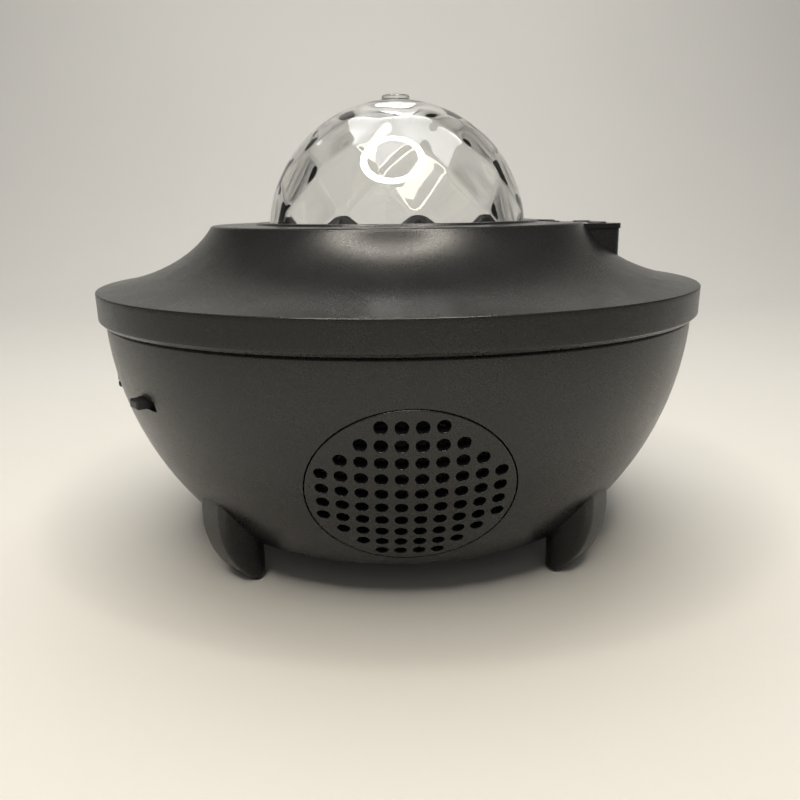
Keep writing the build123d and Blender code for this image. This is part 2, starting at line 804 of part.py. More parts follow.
def make_heat_sink():
    """Aluminium heat sink with straight fins below a round base."""
    top = lamp_plate_bottom
    body = rod(sink_radius, top - sink_base, top)
    fins = int((sink_radius - sink_fin) // sink_pitch)
    root = top - sink_base
    outline = rod(sink_radius, root - sink_fin_height, root)
    for fin in range(-fins, fins + 1):
        middle = fin * sink_pitch
        edges = (middle - sink_fin / 2, middle + sink_fin / 2)
        body += block(edges, (-sink_radius, sink_radius), (root - sink_fin_height, root)) & outline
    for x, y in lamp_screws():
        body -= small_hole(top - sink_base + blind_end, top, x, y)
    return body


def make_led_board():
    """Round lamp board on the heat sink."""
    return rod(led_board_radius, lamp_plate_bottom, lamp_plate_bottom + board_thickness)


def make_led_emitters():
    """Four lamp chips, each with a low square case and a round lens."""
    bottom = lamp_plate_bottom + board_thickness
    half = emitter_size / 2
    case = block((-half, half), (-half, half), (bottom, bottom + emitter_height / 2))
    case += rod(emitter_lens, bottom, bottom + emitter_height)
    step = emitter_spacing / 2
    return group([Pos(x * step, y * step, 0) * case for x in (-1, 1) for y in (-1, 1)])


def make_lens_holder():
    """Ring that centres the lens and backs the ring gear from below."""
    low = lamp_plate_top
    floor = low + holder_floor
    rim = low + lamp_room
    seat = lens_radius + lens_fit
    body = turned((lens_radius - lens_lip, low), (holder_rim_radius, low), (holder_rim_radius, rim),
                  (holder_rim_radius - holder_wall, rim), (holder_rim_radius - holder_wall, floor),
                  (seat + holder_floor, floor), (seat + holder_floor, floor + lens_edge),
                  (seat, floor + lens_edge), (seat, floor), (lens_radius - lens_lip, floor))
    for x, y in lamp_screws():
        body -= small_hole(low, floor, x, y)
    return body


def make_condenser_lens():
    """Flat-bottomed clear lens with a domed top."""
    low = lamp_plate_top + holder_floor
    edge = low + lens_edge
    top = low + lens_height
    rise = top - edge
    curve = (lens_radius ** 2 + rise ** 2) / (2 * rise)
    half = asin(lens_radius / curve) / 2
    shoulder = (curve * sin(half), top - curve * (1 - cos(half)))
    dome = ThreePointArc((lens_radius, edge), shoulder, (0, top))
    return turned_outline(dome + Polyline((0, top), (0, low), (lens_radius, low), (lens_radius, edge)))


def make_lamp_screws():
    """Screws down through lens holder and lamp plate into the heat sink."""
    length = holder_floor + lamp_plate_thickness + sink_base - 2 * blind_end
    piece = Rot(180, 0, 0) * small_screw(length)
    return group([Pos(x, y, lamp_plate_top + holder_floor) * piece for x, y in lamp_screws()])


def make_wave_motor():
    """Round geared motor with two ears and a bearing collar."""
    x, y = motor_place()
    top = lamp_plate_bottom
    body = rod(motor_radius, top - motor_length, top, x, y)
    body += rod(motor_collar_radius, top, lamp_plate_top, x, y)
    for ear_x, ear_y in motor_screws():
        body += rod(motor_ear_radius, top - motor_ear_thickness, top, ear_x, ear_y)
    bar = block((-motor_ear_spacing / 2, motor_ear_spacing / 2), (-motor_ear_radius, motor_ear_radius),
                (top - motor_ear_thickness, top))
    body += Pos(x, y, 0) * Rot(0, 0, motor_azimuth) * bar
    for ear_x, ear_y in motor_screws():
        body -= small_hole(top - motor_ear_thickness, top, ear_x, ear_y)
    bore = lamp_plate_top - shaft_depth
    return body - rod(shaft_radius + running_clearance, bore, lamp_plate_top, x, y)


def make_motor_screws():
    """Screws down through the lamp plate into the motor's ears."""
    piece = Rot(180, 0, 0) * small_screw(lamp_plate_thickness + motor_ear_thickness)
    return group([Pos(x, y, lamp_plate_top) * piece for x, y in motor_screws()])


def make_motor_pinion():
    """Pinion with its hub and steel shaft, in mesh with the ring gear."""
    x, y = motor_place()
    turn = motor_azimuth + 180 / pinion_teeth
    body = Pos(0, 0, gear_bottom) * gear(pinion_teeth)
    body += rod(pinion_hub_radius, lamp_plate_top + end_float, gear_bottom)
    body += rod(shaft_radius, lamp_plate_top - shaft_depth + end_float, gear_bottom)
    return Pos(x, y, 0) * Rot(0, 0, turn - 90) * body


# ---------------------------------------------------------------- control pad
def make_control_plate():
    """Glossy plate over the control box, with the window's and the buttons' holes."""
    plate = pad_form(0, plate_bottom, plate_top)
    plate = chamfer(plate.faces().sort_by(Axis.Z)[-1].edges(), plate_fit)
    plate -= rod(window_radius, plate_bottom, plate_top, pad_x, 0)
    for x, y in button_places():
        plate -= rod(button_radius + button_gap, plate_bottom, plate_top, x, y)
    return plate


def make_star_window():
    """Clear round window that the star beam leaves by."""
    window = rod(window_radius - window_fit, plate_bottom, plate_top, pad_x, 0)
    return chamfer(window.edges().group_by(Axis.Z)[-1], window_fit)


def make_button(x, y):
    """Push button with a retaining flange and a stem that enters its switch."""
    flange = plate_bottom - button_gap - button_flange_height
    stem_end = tact_top - tact_bore_depth + button_travel + stem_gap
    head = rod(button_radius, flange, plate_top + button_proud, x, y)
    head = fillet(head.edges().group_by(Axis.Z)[-1], button_proud)
    head += rod(button_radius + button_flange, flange, flange + button_flange_height, x, y)
    return head + rod(stem_radius, stem_end, flange, x, y)


def make_button_board():
    """Circuit board under the buttons, with a hole for the star beam."""
    inset = plate_overhang + pad_wall + button_board_gap
    half_x = pad_width / 2 - inset
    half_y = pad_length / 2 - inset
    body = block((pad_x - half_x, pad_x + half_x), (-half_y, half_y),
                 (button_board_top - board_thickness, button_board_top))
    body -= rod(beam_hole, button_board_top - board_thickness, button_board_top, pad_x, 0)
    for x, y in button_board_screws():
        body -= small_hole(button_board_top - board_thickness, button_board_top, x, y)
    return body


def make_tact_switches():
    """Small square switches, each open at the top for its button's stem."""
    half = tact_size / 2
    case = block((-half, half), (-half, half), (button_board_top, tact_top))
    case = chamfer(case.edges().filter_by(Axis.Z), tact_corner)
    case -= rod(stem_radius + stem_gap, tact_top - tact_bore_depth, tact_top)
    return group([Pos(x, y, 0) * case for x, y in button_places()])


def make_button_board_screws():
    """Screws up into the bosses of the control box."""
    piece = small_screw(board_thickness + tact_height)
    return group([Pos(x, y, button_board_top - board_thickness) * piece for x, y in button_board_screws()])


# ---------------------------------------------------------------- star unit
def make_star_bracket():
    """Bracket that holds the laser and the grating motor side by side."""
    low = bracket_top - bracket_thickness
    half = bracket_half_width
    body = block((pad_x - half, pad_x + half), (bracket_front_post, bracket_back_post), (low, bracket_top))
    for x, y in bracket_posts():
        body += rod(half, low, bracket_top, x, y)
        body -= small_hole(low, bracket_top, x, y)
    body -= rod(laser_radius + seat_fit, low, bracket_top, pad_x, 0)
    return body - rod(star_motor_radius + seat_fit, low, bracket_top, pad_x, grating_offset)


def make_star_bracket_screws():
    """Screws up into the cover's posts."""
    piece = small_screw(bracket_thickness + board_screw_reach)
    return group([Pos(x, y, bracket_top - bracket_thickness) * piece for x, y in bracket_posts()])


def make_laser_barrel():
    """Turned barrel of the star laser, recessed for its lens."""
    body = rod(laser_radius, laser_top - laser_length, laser_top, pad_x, 0)
    body = chamfer(body.edges().group_by(Axis.Z)[-1], laser_chamfer)
    return body - rod(laser_lens_radius, laser_top - laser_lens_depth, laser_top, pad_x, 0)


def make_laser_lens():
    """Small lens pressed into the barrel's mouth."""
    low = laser_top - laser_lens_depth
    lens = rod(laser_lens_radius, low, laser_top, pad_x, 0)
    return fillet(lens.edges().group_by(Axis.Z)[-1], laser_lens_depth / 2)


def make_star_motor():
    """Small motor of the grating wheel."""
    low = star_motor_top - star_motor_length
    body = rod(star_motor_radius, low, star_motor_top, pad_x, grating_offset)
    return body - rod(shaft_radius + running_clearance, star_motor_top - shaft_depth, star_motor_top,
                      pad_x, grating_offset)


def make_grating_wheel():
    """Clear grating disc on its hub and shaft."""
    y = grating_offset
    body = rod(grating_radius, grating_z, grating_z + grating_thickness, pad_x, y)
    body += rod(grating_hub_radius, grating_z - grating_hub_height, grating_z, pad_x, y)
    return body + rod(shaft_radius, star_motor_top - shaft_depth + end_float, grating_z, pad_x, y)


# ---------------------------------------------------------------- loudspeaker
def speaker_screws():
    """Places of the speaker's four screws, across its axis."""
    return [on_circle(speaker_screw_circle, azimuth) for azimuth in speaker_screw_azimuths]


def grille_holes():
    """Centres of the grille's holes: rows of different length on a square grid."""
    places = []
    for row, count in enumerate(grille_rows):
        rise = (row - (len(grille_rows) - 1) / 2) * grille_pitch
        places += [((hole - (count - 1) / 2) * grille_pitch, rise) for hole in range(count)]
    return places


def make_speaker_grille():
    """Round grille with the bowl's own curve, a rim behind it and straight holes."""
    reach = speaker_frame_of(rod(grille_radius, 0, FAR))
    skin = (bowl_form(0, ground_clearance) - bowl_form(wall, ground_clearance)) & reach
    rim = speaker_frame_of(tube(grille_radius, grille_radius - grille_rim, speaker_seat, FAR))
    body = skin + (rim & bowl_form(0, ground_clearance))
    holes = [rod(grille_hole_radius, speaker_seat, FAR, x, y) for x, y in grille_holes()]
    return body - [speaker_frame_of(hole) for hole in holes]


def make_speaker_gasket():
    """Foam ring between speaker and seat, which also holds the grille's rim."""
    body = tube(speaker_flange_radius, gasket_inner_radius, frame_front, speaker_seat)
    for x, y in speaker_screws():
        body -= small_hole(frame_front, speaker_seat, x, y)
    return speaker_frame_of(body)


def make_speaker_frame():
    """Pressed basket with four windows between its flange and its foot."""
    foot_top = basket_back + frame_thickness
    body = turned((frame_inner_radius, frame_front), (speaker_flange_radius, frame_front),
                  (speaker_flange_radius, frame_back), (frame_inner_radius + basket_wall, frame_back),
                  (basket_foot_radius + basket_wall, basket_back), (coil_slot_outer, basket_back),
                  (coil_slot_outer, foot_top), (basket_foot_radius, foot_top),
                  (frame_inner_radius, frame_back))
    half = basket_window / 2
    window = block((basket_foot_radius, frame_inner_radius + basket_wall), (-half, half),
                   (foot_top + frame_thickness, frame_back - frame_thickness))
    for quarter in range(4):
        body -= Rot(0, 0, 90 * quarter) * window
    for x, y in speaker_screws():
        body -= small_hole(frame_back, frame_front, x, y)
    return speaker_frame_of(body)


def make_speaker_magnet():
    """Magnet and its steel plates, with the ring-shaped slot of the coil."""
    low = basket_back - magnet_height
    body = rod(magnet_radius, low, basket_back)
    body = chamfer(body.edges().group_by(Axis.Z)[0], frame_thickness)
    body -= tube(coil_slot_outer, coil_slot_inner, basket_back - coil_slot_depth, basket_back)
    return speaker_frame_of(body)


def make_speaker_surround():
    """Rubber half-roll between the cone and the frame."""
    inner = cone_radius + surround_gap
    low = frame_front
    roll = frame_inner_radius - surround_roll
    high = low + surround_sheet
    thin = surround_roll - surround_sheet
    outer_arc = ThreePointArc((roll - surround_roll, high), (roll, high + surround_roll),
                              (roll + surround_roll, high))
    inner_arc = ThreePointArc((roll + thin, low), (roll, low + thin), (roll - thin, low))
    outline = outer_arc + Polyline((roll + surround_roll, high), (surround_outer_radius, high),
                                   (surround_outer_radius, low), (roll + thin, low)) + inner_arc
    outline += Polyline((roll - thin, low), (inner, low), (inner, high), (roll - surround_roll, high))
    return speaker_frame_of(turned_outline(outline))


def make_speaker_cone():
    """Cone with its dust cap and the coil that reaches into the magnet."""
    rim = frame_front + cone_rise
    neck = rim - cone_depth
    body = turned((coil_radius, neck), (cone_radius, rim), (cone_radius, rim + cone_wall),
                  (cone_radius - cone_wall, rim + cone_wall), (coil_radius - coil_wall, neck + cone_wall),
                  (coil_radius - coil_wall, basket_back - coil_reach),
                  (coil_radius, basket_back - coil_reach))
    cap_foot = neck + cone_wall
    curve = (coil_radius ** 2 + cap_height ** 2) / (2 * cap_height)
    cap = Pos(0, 0, cap_foot + cap_height - curve) * Sphere(curve)
    hollow = Pos(0, 0, cap_foot + cap_height - curve) * Sphere(curve - cone_wall)
    body += (cap - hollow) & rod(coil_radius, cap_foot, cap_foot + 2 * cap_height)
    return speaker_frame_of(body)


def make_speaker_screws():
    """Screws through flange and gasket into the bowl's seat ring."""
    piece = small_screw(frame_thickness + gasket_thickness + speaker_screw_reach)
    return group([speaker_frame_of(Pos(x, y, frame_back) * piece) for x, y in speaker_screws()])


# ---------------------------------------------------------------- main board and sockets
def main_board_corners():
    """Plan places of the main board's four screws."""
    side = main_board_half - board_screw_inset
    sockets_back = min(usb_mouth() - usb_length, jack_front() - jack_length)
    ends = (board_edges()[0] + board_screw_inset, sockets_back - small_head_radius - board_screw_room)
    return [beside_port(outward, sideways) for outward in ends for sideways in (-side, side)]


def board_edges():
    """Distances of the main board's near and far edges from the vertical axis."""
    far = usb_mouth() - board_setback
    return far - main_board_length, far


def usb_mouth():
    """Distance of the USB socket's mouth from the vertical axis."""
    return sqrt(bowl_radius(port_height) ** 2 - (usb_offset + usb_width / 2) ** 2) - port_recess


def jack_height():
    """Height of the power socket's centre."""
    return main_board_top + jack_size / 2


def jack_mouth():
    """Distance of the power socket's mouth from the vertical axis."""
    return sqrt(bowl_radius(jack_height()) ** 2 - (abs(jack_offset) + jack_nose_radius) ** 2) - port_recess


def jack_front():
    """Distance of the power socket's square front from the vertical axis."""
    return jack_mouth() - jack_nose_length


def led_tip():
    """Distance of the indicator's tip from the vertical axis."""
    return sqrt(bowl_radius(port_height - led_drop) ** 2 - usb_offset ** 2) + led_proud


def usb_box(growth, near, far):
    """Rectangular block round the USB socket's axis."""
    half = usb_width / 2 + growth
    rise = usb_height / 2 + growth
    heights = (port_height - rise, port_height + rise)
    return block((usb_offset - half, usb_offset + half), heights, (near, far))


def port_cuts():
    """Holes in the bowl for both sockets and the indicator, along the ports' direction."""
    inside = board_edges()[1]
    cuts = usb_box(port_gap, inside, FAR)
    cuts += rod(jack_nose_radius + port_gap, inside, FAR, jack_offset, jack_height())
    return cuts + rod(led_radius + port_gap, inside, FAR, usb_offset, port_height - led_drop)


def make_main_board():
    """Main circuit board, flat on its four posts."""
    body = facing(port_azimuth) * block((-main_board_half, main_board_half),
                                        (main_board_bottom, main_board_top), board_edges())
    for x, y in main_board_corners():
        body -= small_hole(main_board_bottom, main_board_top, x, y)
    return body


def make_main_board_screws():
    """Screws down into the board's posts."""
    piece = Rot(180, 0, 0) * small_screw(board_thickness + board_screw_reach)
    return group([Pos(x, y, main_board_top) * piece for x, y in main_board_corners()])


def make_board_chips():
    """Sound, driver and radio chips."""
    near = board_edges()[0]
    sizes = [(sound_chip_width, sound_chip_length), (driver_chip_size, driver_chip_size),
             (radio_chip_size, radio_chip_size)]
    places = [(0, near + sound_chip_place), (driver_chip_aside, near + sound_chip_place),
              (0, near + radio_chip_place)]
    chips = []
    for (wide, long), (sideways, outward) in zip(sizes, places):
        chip = block((-wide / 2, wide / 2), (main_board_top, main_board_top + chip_height),
                     (-long / 2, long / 2))
        chips.append(facing(port_azimuth) * Pos(sideways, 0, outward) * chip)
    return group(chips)


def make_board_capacitors():
    """Upright round capacitors."""
    can = rod(capacitor_radius, main_board_top, main_board_top + capacitor_height)
    can = fillet(can.edges().group_by(Axis.Z)[-1], capacitor_round)
    near = board_edges()[0]
    places = [(capacitor_place, side * capacitor_aside) for side in (-1, 1)] + [(supply_place, supply_aside)]
    return group([Pos(*beside_port(near + outward, sideways), 0) * can for outward, sideways in places])


def make_usb_socket():
    """Sheet-metal USB socket, open at its mouth, with its contact tongue."""
    mouth = usb_mouth()
    back = mouth - usb_length
    body = usb_box(0, back, mouth) - usb_box(-usb_shell, back + usb_back, mouth)
    half = usb_tongue_width / 2
    top = port_height + usb_height / 2 - 2 * usb_shell
    tongue = block((usb_offset - half, usb_offset + half), (top - usb_tongue, top),
                   (back + usb_back, back + usb_back + usb_tongue_length))
    return facing(port_azimuth) * (body + tongue)


def make_power_socket():
    """Round power socket with its centre pin."""
    middle = (jack_offset, jack_height())
    half = jack_size / 2
    mouth = jack_mouth()
    floor = mouth - jack_bore_depth
    body = block((jack_offset - half, jack_offset + half), (main_board_top, main_board_top + jack_size),
                 (jack_front() - jack_length, jack_front()))
    body += rod(jack_nose_radius, jack_front(), mouth, *middle)
    body -= rod(jack_bore, floor, mouth, *middle)
    return facing(port_azimuth) * (body + rod(jack_pin, floor, mouth - jack_pin_recess, *middle))


def make_indicator_lamp():
    """Small lamp in front of the board's edge, standing a little proud of the bowl."""
    middle = (usb_offset, port_height - led_drop)
    low = board_edges()[1] + led_gap
    lamp = rod(led_radius, low, led_tip(), *middle)
    lamp = fillet(lamp.edges().group_by(Axis.Z)[-1], led_round)
    return facing(port_azimuth) * (lamp + rod(led_collar, low, low + led_collar, *middle))


# ---------------------------------------------------------------- slide switch
def switch_plane():
    """Distance of the switch's seat from the vertical axis."""
    inner = bowl_radius(switch_height, wall)
    return sqrt(inner ** 2 - (switch_screw_spacing / 2) ** 2) - switch_seat


def switch_posts(radius, near, far):
    """Two round bars through the switch's ears, along the switch's direction."""
    half = switch_screw_spacing / 2
    return rod(radius, near, far, -half, switch_height) + rod(radius, near, far, half, switch_height)


def knob_box(growth, near, far):
    """Block round the knob in its rest place, at the slot's left end."""
    middle = -switch_travel / 2
    half = knob_width / 2 + growth
    rise = knob_height / 2 + growth
    return block((middle - half, middle + half), (switch_height - rise, switch_height + rise), (near, far))


def make_slide_switch():
    """Switch body with two ears and a window that its knob slides in."""
    plane = switch_plane()
    half = switch_body_width / 2
    heights = (switch_height - switch_body_height / 2, switch_height + switch_body_height / 2)
    flange = plane - switch_flange
    body = block((-half, half), heights, (flange - switch_body_depth, flange))
    body += block((-switch_ear_reach, switch_ear_reach), heights, (flange, plane))
    inner = knob_box(knob_gap, flange - switch_body_depth / 2 - knob_gap, plane)
    body -= inner + Pos(switch_travel, 0, 0) * inner + Pos(switch_travel / 2, 0, 0) * inner
    return facing(switch_azimuth) * (body - switch_posts(small_screw_radius + screw_fit, flange, plane))


def make_switch_knob():
    """Sliding knob, with its rest place at the left end of the slot."""
    near = switch_plane() - switch_flange - switch_body_depth / 2
    far = bowl_radius(switch_height) + knob_proud
    knob = knob_box(0, near, far)
    knob = fillet(knob.edges().group_by(Axis.Z)[-1], knob_round)
    return facing(switch_azimuth) * knob


def make_switch_screws():
    """Screws through the switch's ears into the bowl's posts."""
    flange = switch_plane() - switch_flange
    piece = small_screw(switch_flange + switch_screw_reach)
    half = switch_screw_spacing / 2
    places = [Pos(side * half, switch_height, flange) for side in (-1, 1)]
    return group([facing(switch_azimuth) * (place * piece) for place in places])


# ---------------------------------------------------------------- the assembly
nodes = {
    "top_cover": make_top_cover,
    "lower_shell": make_lower_shell,
    "rubber_feet": make_feet,
    "housing_screws": make_housing_screws,
    "crystal_dome": make_crystal_dome,
    "optics_deck": make_optics_deck,
    "deck_screws": make_deck_screws,
    "ring_gear": make_ring_gear,
    "wave_disc": make_wave_disc,
    "lamp_plate": make_lamp_plate,
    "lamp_plate_screws": make_lamp_plate_screws,
    "heat_sink": make_heat_sink,
    "led_board": make_led_board,
    "led_emitters": make_led_emitters,
    "lens_holder": make_lens_holder,
    "condenser_lens": make_condenser_lens,
    "lamp_screws": make_lamp_screws,
    "wave_motor": make_wave_motor,
    "motor_screws": make_motor_screws,
    "motor_pinion": make_motor_pinion,
    "control_plate": make_control_plate,
    "star_window": make_star_window,
    "button_board": make_button_board,
    "tact_switches": make_tact_switches,
    "button_board_screws": make_button_board_screws,
    "star_bracket": make_star_bracket,
    "star_bracket_screws": make_star_bracket_screws,
    "laser_barrel": make_laser_barrel,
    "laser_lens": make_laser_lens,
    "star_motor": make_star_motor,
    "grating_wheel": make_grating_wheel,
    "speaker_grille": make_speaker_grille,
    "speaker_gasket": make_speaker_gasket,
    "speaker_frame": make_speaker_frame,
    "speaker_magnet": make_speaker_magnet,
    "speaker_surround": make_speaker_surround,
    "speaker_cone": make_speaker_cone,
    "speaker_screws": make_speaker_screws,
    "main_board": make_main_board,
    "main_board_screws": make_main_board_screws,
    "board_chips": make_board_chips,
    "board_capacitors": make_board_capacitors,
    "usb_socket": make_usb_socket,
    "power_socket": make_power_socket,
    "indicator_lamp": make_indicator_lamp,
    "slide_switch": make_slide_switch,
    "switch_knob": make_switch_knob,
    "switch_screws": make_switch_screws,
}
for name, make in nodes.items():
    save(name, make())
for name, place in zip(("power_button", "light_button", "star_button", "sound_button"), button_places()):
    save(name, make_button(*place))
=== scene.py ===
"""Star and wave projector with a built-in loudspeaker, dressed for its looks.

Every new piece is a surface worked out with numpy on a grid of two parameters: a profile turned
about an axis, a skin with windows cut into its grid, or a flat pattern carried onto the bowl.
All lengths are in metres in the frame of the CAD model: +Z up, -Y the front with the grille,
+X the side with the control pad. Azimuths count from the front towards +X.
"""
from math import asin, atan, cos, hypot, pi, radians, sin, sqrt

import bmesh
import bpy
import numpy as np
from bpy.props import FloatProperty, FloatVectorProperty, IntProperty, PointerProperty
from mathutils import Matrix


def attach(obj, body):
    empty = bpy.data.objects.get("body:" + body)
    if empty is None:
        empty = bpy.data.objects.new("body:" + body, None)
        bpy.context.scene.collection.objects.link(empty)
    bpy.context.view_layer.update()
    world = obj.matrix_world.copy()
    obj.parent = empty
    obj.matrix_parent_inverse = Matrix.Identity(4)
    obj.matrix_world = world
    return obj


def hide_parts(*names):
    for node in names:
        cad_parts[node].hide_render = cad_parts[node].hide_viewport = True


bl_info = {
    "name": "Star projector builder",
    "version": (1, 0, 0),
    "blender": (4, 5, 0),
    "location": "View3D > Sidebar > Projector",
    "description": "Builds the looks of a star and wave projector round its packed CAD frame",
    "category": "Object",
}

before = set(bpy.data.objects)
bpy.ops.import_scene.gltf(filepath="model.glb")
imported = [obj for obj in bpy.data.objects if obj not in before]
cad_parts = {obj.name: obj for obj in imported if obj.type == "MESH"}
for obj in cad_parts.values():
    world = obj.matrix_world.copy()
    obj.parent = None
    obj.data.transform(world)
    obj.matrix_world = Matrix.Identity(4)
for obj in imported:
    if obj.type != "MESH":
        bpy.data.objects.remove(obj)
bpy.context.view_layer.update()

MM = 0.001
# lengths below this count as nothing
WELD = 1e-7
# points closer than this become one
MERGE = 2e-6
# edges that turn by more than this stay sharp
CREASE = radians(35)
# even azimuths round the turned shells
COLUMNS = 360
# control points of the cover's flare, as shares of its run and its drop
FLARE = ((0.10, 0.33), (0.38, 0.83))
# elevations of the rings of facet corners inside the dome
FACET_RINGS = np.radians((10.5, 26.3, 39.5, 57.5, 75.0))
# columns of points across each facet
FACET_COLUMNS = 40
# holes in each row of the grille
GRILLE_ROWS = (4, 6, 8, 10, 10, 10, 10, 8, 6, 4)
# linear colours of the ring lamp, a slightly warm white, and of the room, a nearly neutral one
KEY_LIGHT = (1.0, 0.93, 0.82, 1.0)
ROOM_LIGHT = (1.0, 0.985, 0.95, 1.0)


# ---------------------------------------------------------------- properties
def linear(code):
    """Linear RGB of an sRGB hex colour, by the sRGB curve: a straight toe and a 2.4 power above it."""
    values = np.array([int(code[place:place + 2], 16) for place in (1, 3, 5)]) / 255
    return tuple(np.where(values <= 0.04045, values / 12.92, ((values + 0.055) / 1.055) ** 2.4))


def length(name, millimetres, description):
    """Length property, with its default in millimetres."""
    return FloatProperty(name=name, default=millimetres * MM, description=description, unit="LENGTH",
                         precision=5)


def turn(name, degrees, description):
    """Angle property, with its default in degrees."""
    return FloatProperty(name=name, default=radians(degrees), description=description, subtype="ANGLE")


def amount(name, value, description):
    """Plain number property."""
    return FloatProperty(name=name, default=value, description=description)


def colour(name, code, description):
    """Colour property, with its default as an sRGB hex value."""
    return FloatVectorProperty(name=name, default=linear(code), description=description, subtype="COLOR",
                               min=0.0, max=1.0)


class CoverSizes(bpy.types.PropertyGroup):
    """Sizes of the flared cover."""
    rim_radius: length("Rim radius", 84.0, "Widest part, at the crease")
    crease_height: length("Crease height", 74.3, "Height of the crease above the ground")
    band_foot: length("Band foot", 67.3, "Lower end of the upright band")
    band_draft: length("Band draft", 0.2, "How much slimmer the band is at its foot")
    band_round: length("Band rounding", 0.2, "Rounding of the band's lower edge")
    chamfer: length("Chamfer", 1.0, "Chamfer under the band")
    chamfer_round: length("Chamfer rounding", 0.25, "Rounding under that chamfer")
    top_height: length("Top height", 90.5, "Height of the flat top above the ground")
    top_radius: length("Top radius", 52.6, "Edge between flat top and flare")
    top_corner: length("Top corner", 1.2, "Rounding of that edge")
    crease_round: length("Crease rounding", 0.35, "Rounding of the crease")
    dome_hole: length("Dome hole", 37.0, "Radius of the hole round the dome")
    bead_width: length("Bead width", 3.4, "Width of the low bead round the dome")
    bead_height: length("Bead height", 0.6, "Height of that bead")
    bead_lip: length("Bead lip", 0.3, "Rounding of the bead's inner edge")
    bead_slope: length("Bead slope", 0.45, "Width of the bead's sloping outer side")
    bead_round: length("Bead rounding", 0.5, "Rounding at the top of that side")
    bead_toe: length("Bead toe", 0.25, "Rounding where the bead meets the flat top")
    wall: length("Wall", 2.2, "Thickness of the moulded walls")
    seat_wall: length("Seat wall", 3.6, "Thickness of the cover's seat on the bowl")
    rib_gap: length("Rib gap", 0.3, "Room between that seat and the bowl's locating rib")


class BowlSizes(bpy.types.PropertyGroup):
    """Sizes of the bowl and its legs."""
    lip_height: length("Lip height", 65.5, "Height of the bowl's lip above the ground")
    lip_radius: length("Lip radius", 82.0, "Radius of the bowl at its lip")
    groove_height: length("Groove height", 0.8, "Joint groove under the cover")
    groove_depth: length("Groove depth", 0.5, "Depth of that groove")
    centre_rise: length("Centre rise", 4.6, "Centre of the bowl's curve above its lip")
    centre_offset: length("Centre offset", 1.2, "Centre of the bowl's curve beyond the axis")
    clearance: length("Clearance", 9.5, "Flat underside above the ground")
    lip_round: length("Lip rounding", 0.5, "Softened edge of the lip")
    base_round: length("Base rounding", 1.0, "Softened edge of the underside")
    rib_width: length("Rib width", 1.9, "Thickness of the rib that locates the cover")
    rib_below: length("Rib below", 4.0, "That rib below the joint with the cover")
    rib_above: length("Rib above", 2.5, "That rib above the joint")
    leg_turn: turn("Leg azimuth", 47.1, "Azimuth of the front legs, either side of the front")
    leg_width: length("Leg width", 10.4, "Width of a leg")
    leg_inner: length("Leg inner end", 53.6, "Inner end of a leg from the axis")
    leg_nose: length("Leg nose", 4.6, "Corner radius of that inner end")
    leg_bottom: length("Leg bottom", 0.4, "Underside of a leg above the ground")
    leg_toe: length("Leg toe", 59.2, "Outer end of the leg's sole from the axis")
    belly_reach: length("Belly reach", 65.4, "Middle of the leg's convex back from the axis")
    belly_height: length("Belly height", 8.4, "Height of that point above the ground")
    leg_height: length("Leg height", 23.0, "Height at which a leg has run into the bowl")
    leg_proud: length("Leg step", 0.3, "Step that is left there")
    leg_round: length("Leg rounding", 2.0, "Softened edges of a leg's back")
    leg_sole: length("Sole rounding", 0.5, "Rounded edge of a leg's sole")
    leg_buried: length("Buried leg", 2.0, "How far a leg runs on in the bowl's wall")
    tower_circle: length("Tower circle", 46.0, "Radius of the circle of the screw towers")
    tower_radius: length("Tower radius", 4.7, "Radius of a screw tower")
    tower_bore: length("Tower bore", 3.1, "Bore that a screw is dropped into")
    tower_top: length("Tower top", 60.0, "Top of the screw towers")
    tower_web: length("Tower web", 3.0, "Thickness of a tower's solid end")
    screw_hole: length("Screw hole", 1.55, "Radius of the hole in that end")


class SpeakerSizes(bpy.types.PropertyGroup):
    """Sizes of the grille and of the speaker's opening."""
    tilt: turn("Tilt", 27.3, "How far the speaker looks below the horizontal")
    grille_radius: length("Grille radius", 23.6, "Radius of the round grille")
    gap: length("Gap", 0.35, "Gap round the grille")
    hole_radius: length("Hole radius", 1.5, "Radius of a hole in the grille")
    pitch: length("Pitch", 4.37, "Spacing of the holes")
    seat: length("Seat", 74.6, "Speaker's seat from the centre of the bowl's curve")
    seat_radius: length("Seat radius", 28.6, "Outer radius of that seat")
    seat_root: length("Seat root", 1.2, "How deep the seat starts in the bowl's wall")
    rim: length("Rim", 1.2, "Width of the grille's rim")
    even_radius: length("Even cells", 22.3, "Radius beyond which the grille's cells are drawn in by half")
    edge_round: length("Edge rounding", 0.18, "Softened edges of the grille")


class DomeSizes(bpy.types.PropertyGroup):
    """Sizes of the clear dome."""
    radius: length("Radius", 36.7, "Radius of the smooth outside")
    sink: length("Sink", 3.0, "Centre of that sphere below the flat top")
    wall: length("Wall", 2.7, "From the outside to the facet corners")
    foot_wall: length("Foot wall", 3.25, "The same at the round foot")
    low_wall: length("Low wall", 2.3, "The same at the lowest corners, which the round foot cuts off")
    flange: length("Flange", 3.4, "Width of the clamped flange")
    flange_thickness: length("Flange thickness", 2.4, "Thickness of that flange")
    flange_round: length("Flange rounding", 0.2, "Rounded edges of that flange")
    gate_radius: length("Gate radius", 3.9, "Radius of the moulding gate's stub")
    gate_height: length("Gate height", 1.1, "Height of that stub")
    gate_round: length("Gate rounding", 0.4, "Rounding of that stub")
    gate_root: length("Gate root", 0.25, "Rounding where it meets the sphere")
    shoulder: turn("Shoulder", 83.0, "Elevation at which that stub has run into the sphere")
    twist: turn("Twist", 7.0, "Azimuth of the first facet corner of the lowest ring")
    sides: IntProperty(name="Sides", default=11, description="Facet corners in each ring", min=6, max=24)
    sharpness: amount("Sharpness", 190.0, "Power that keeps the facet edges crisp")


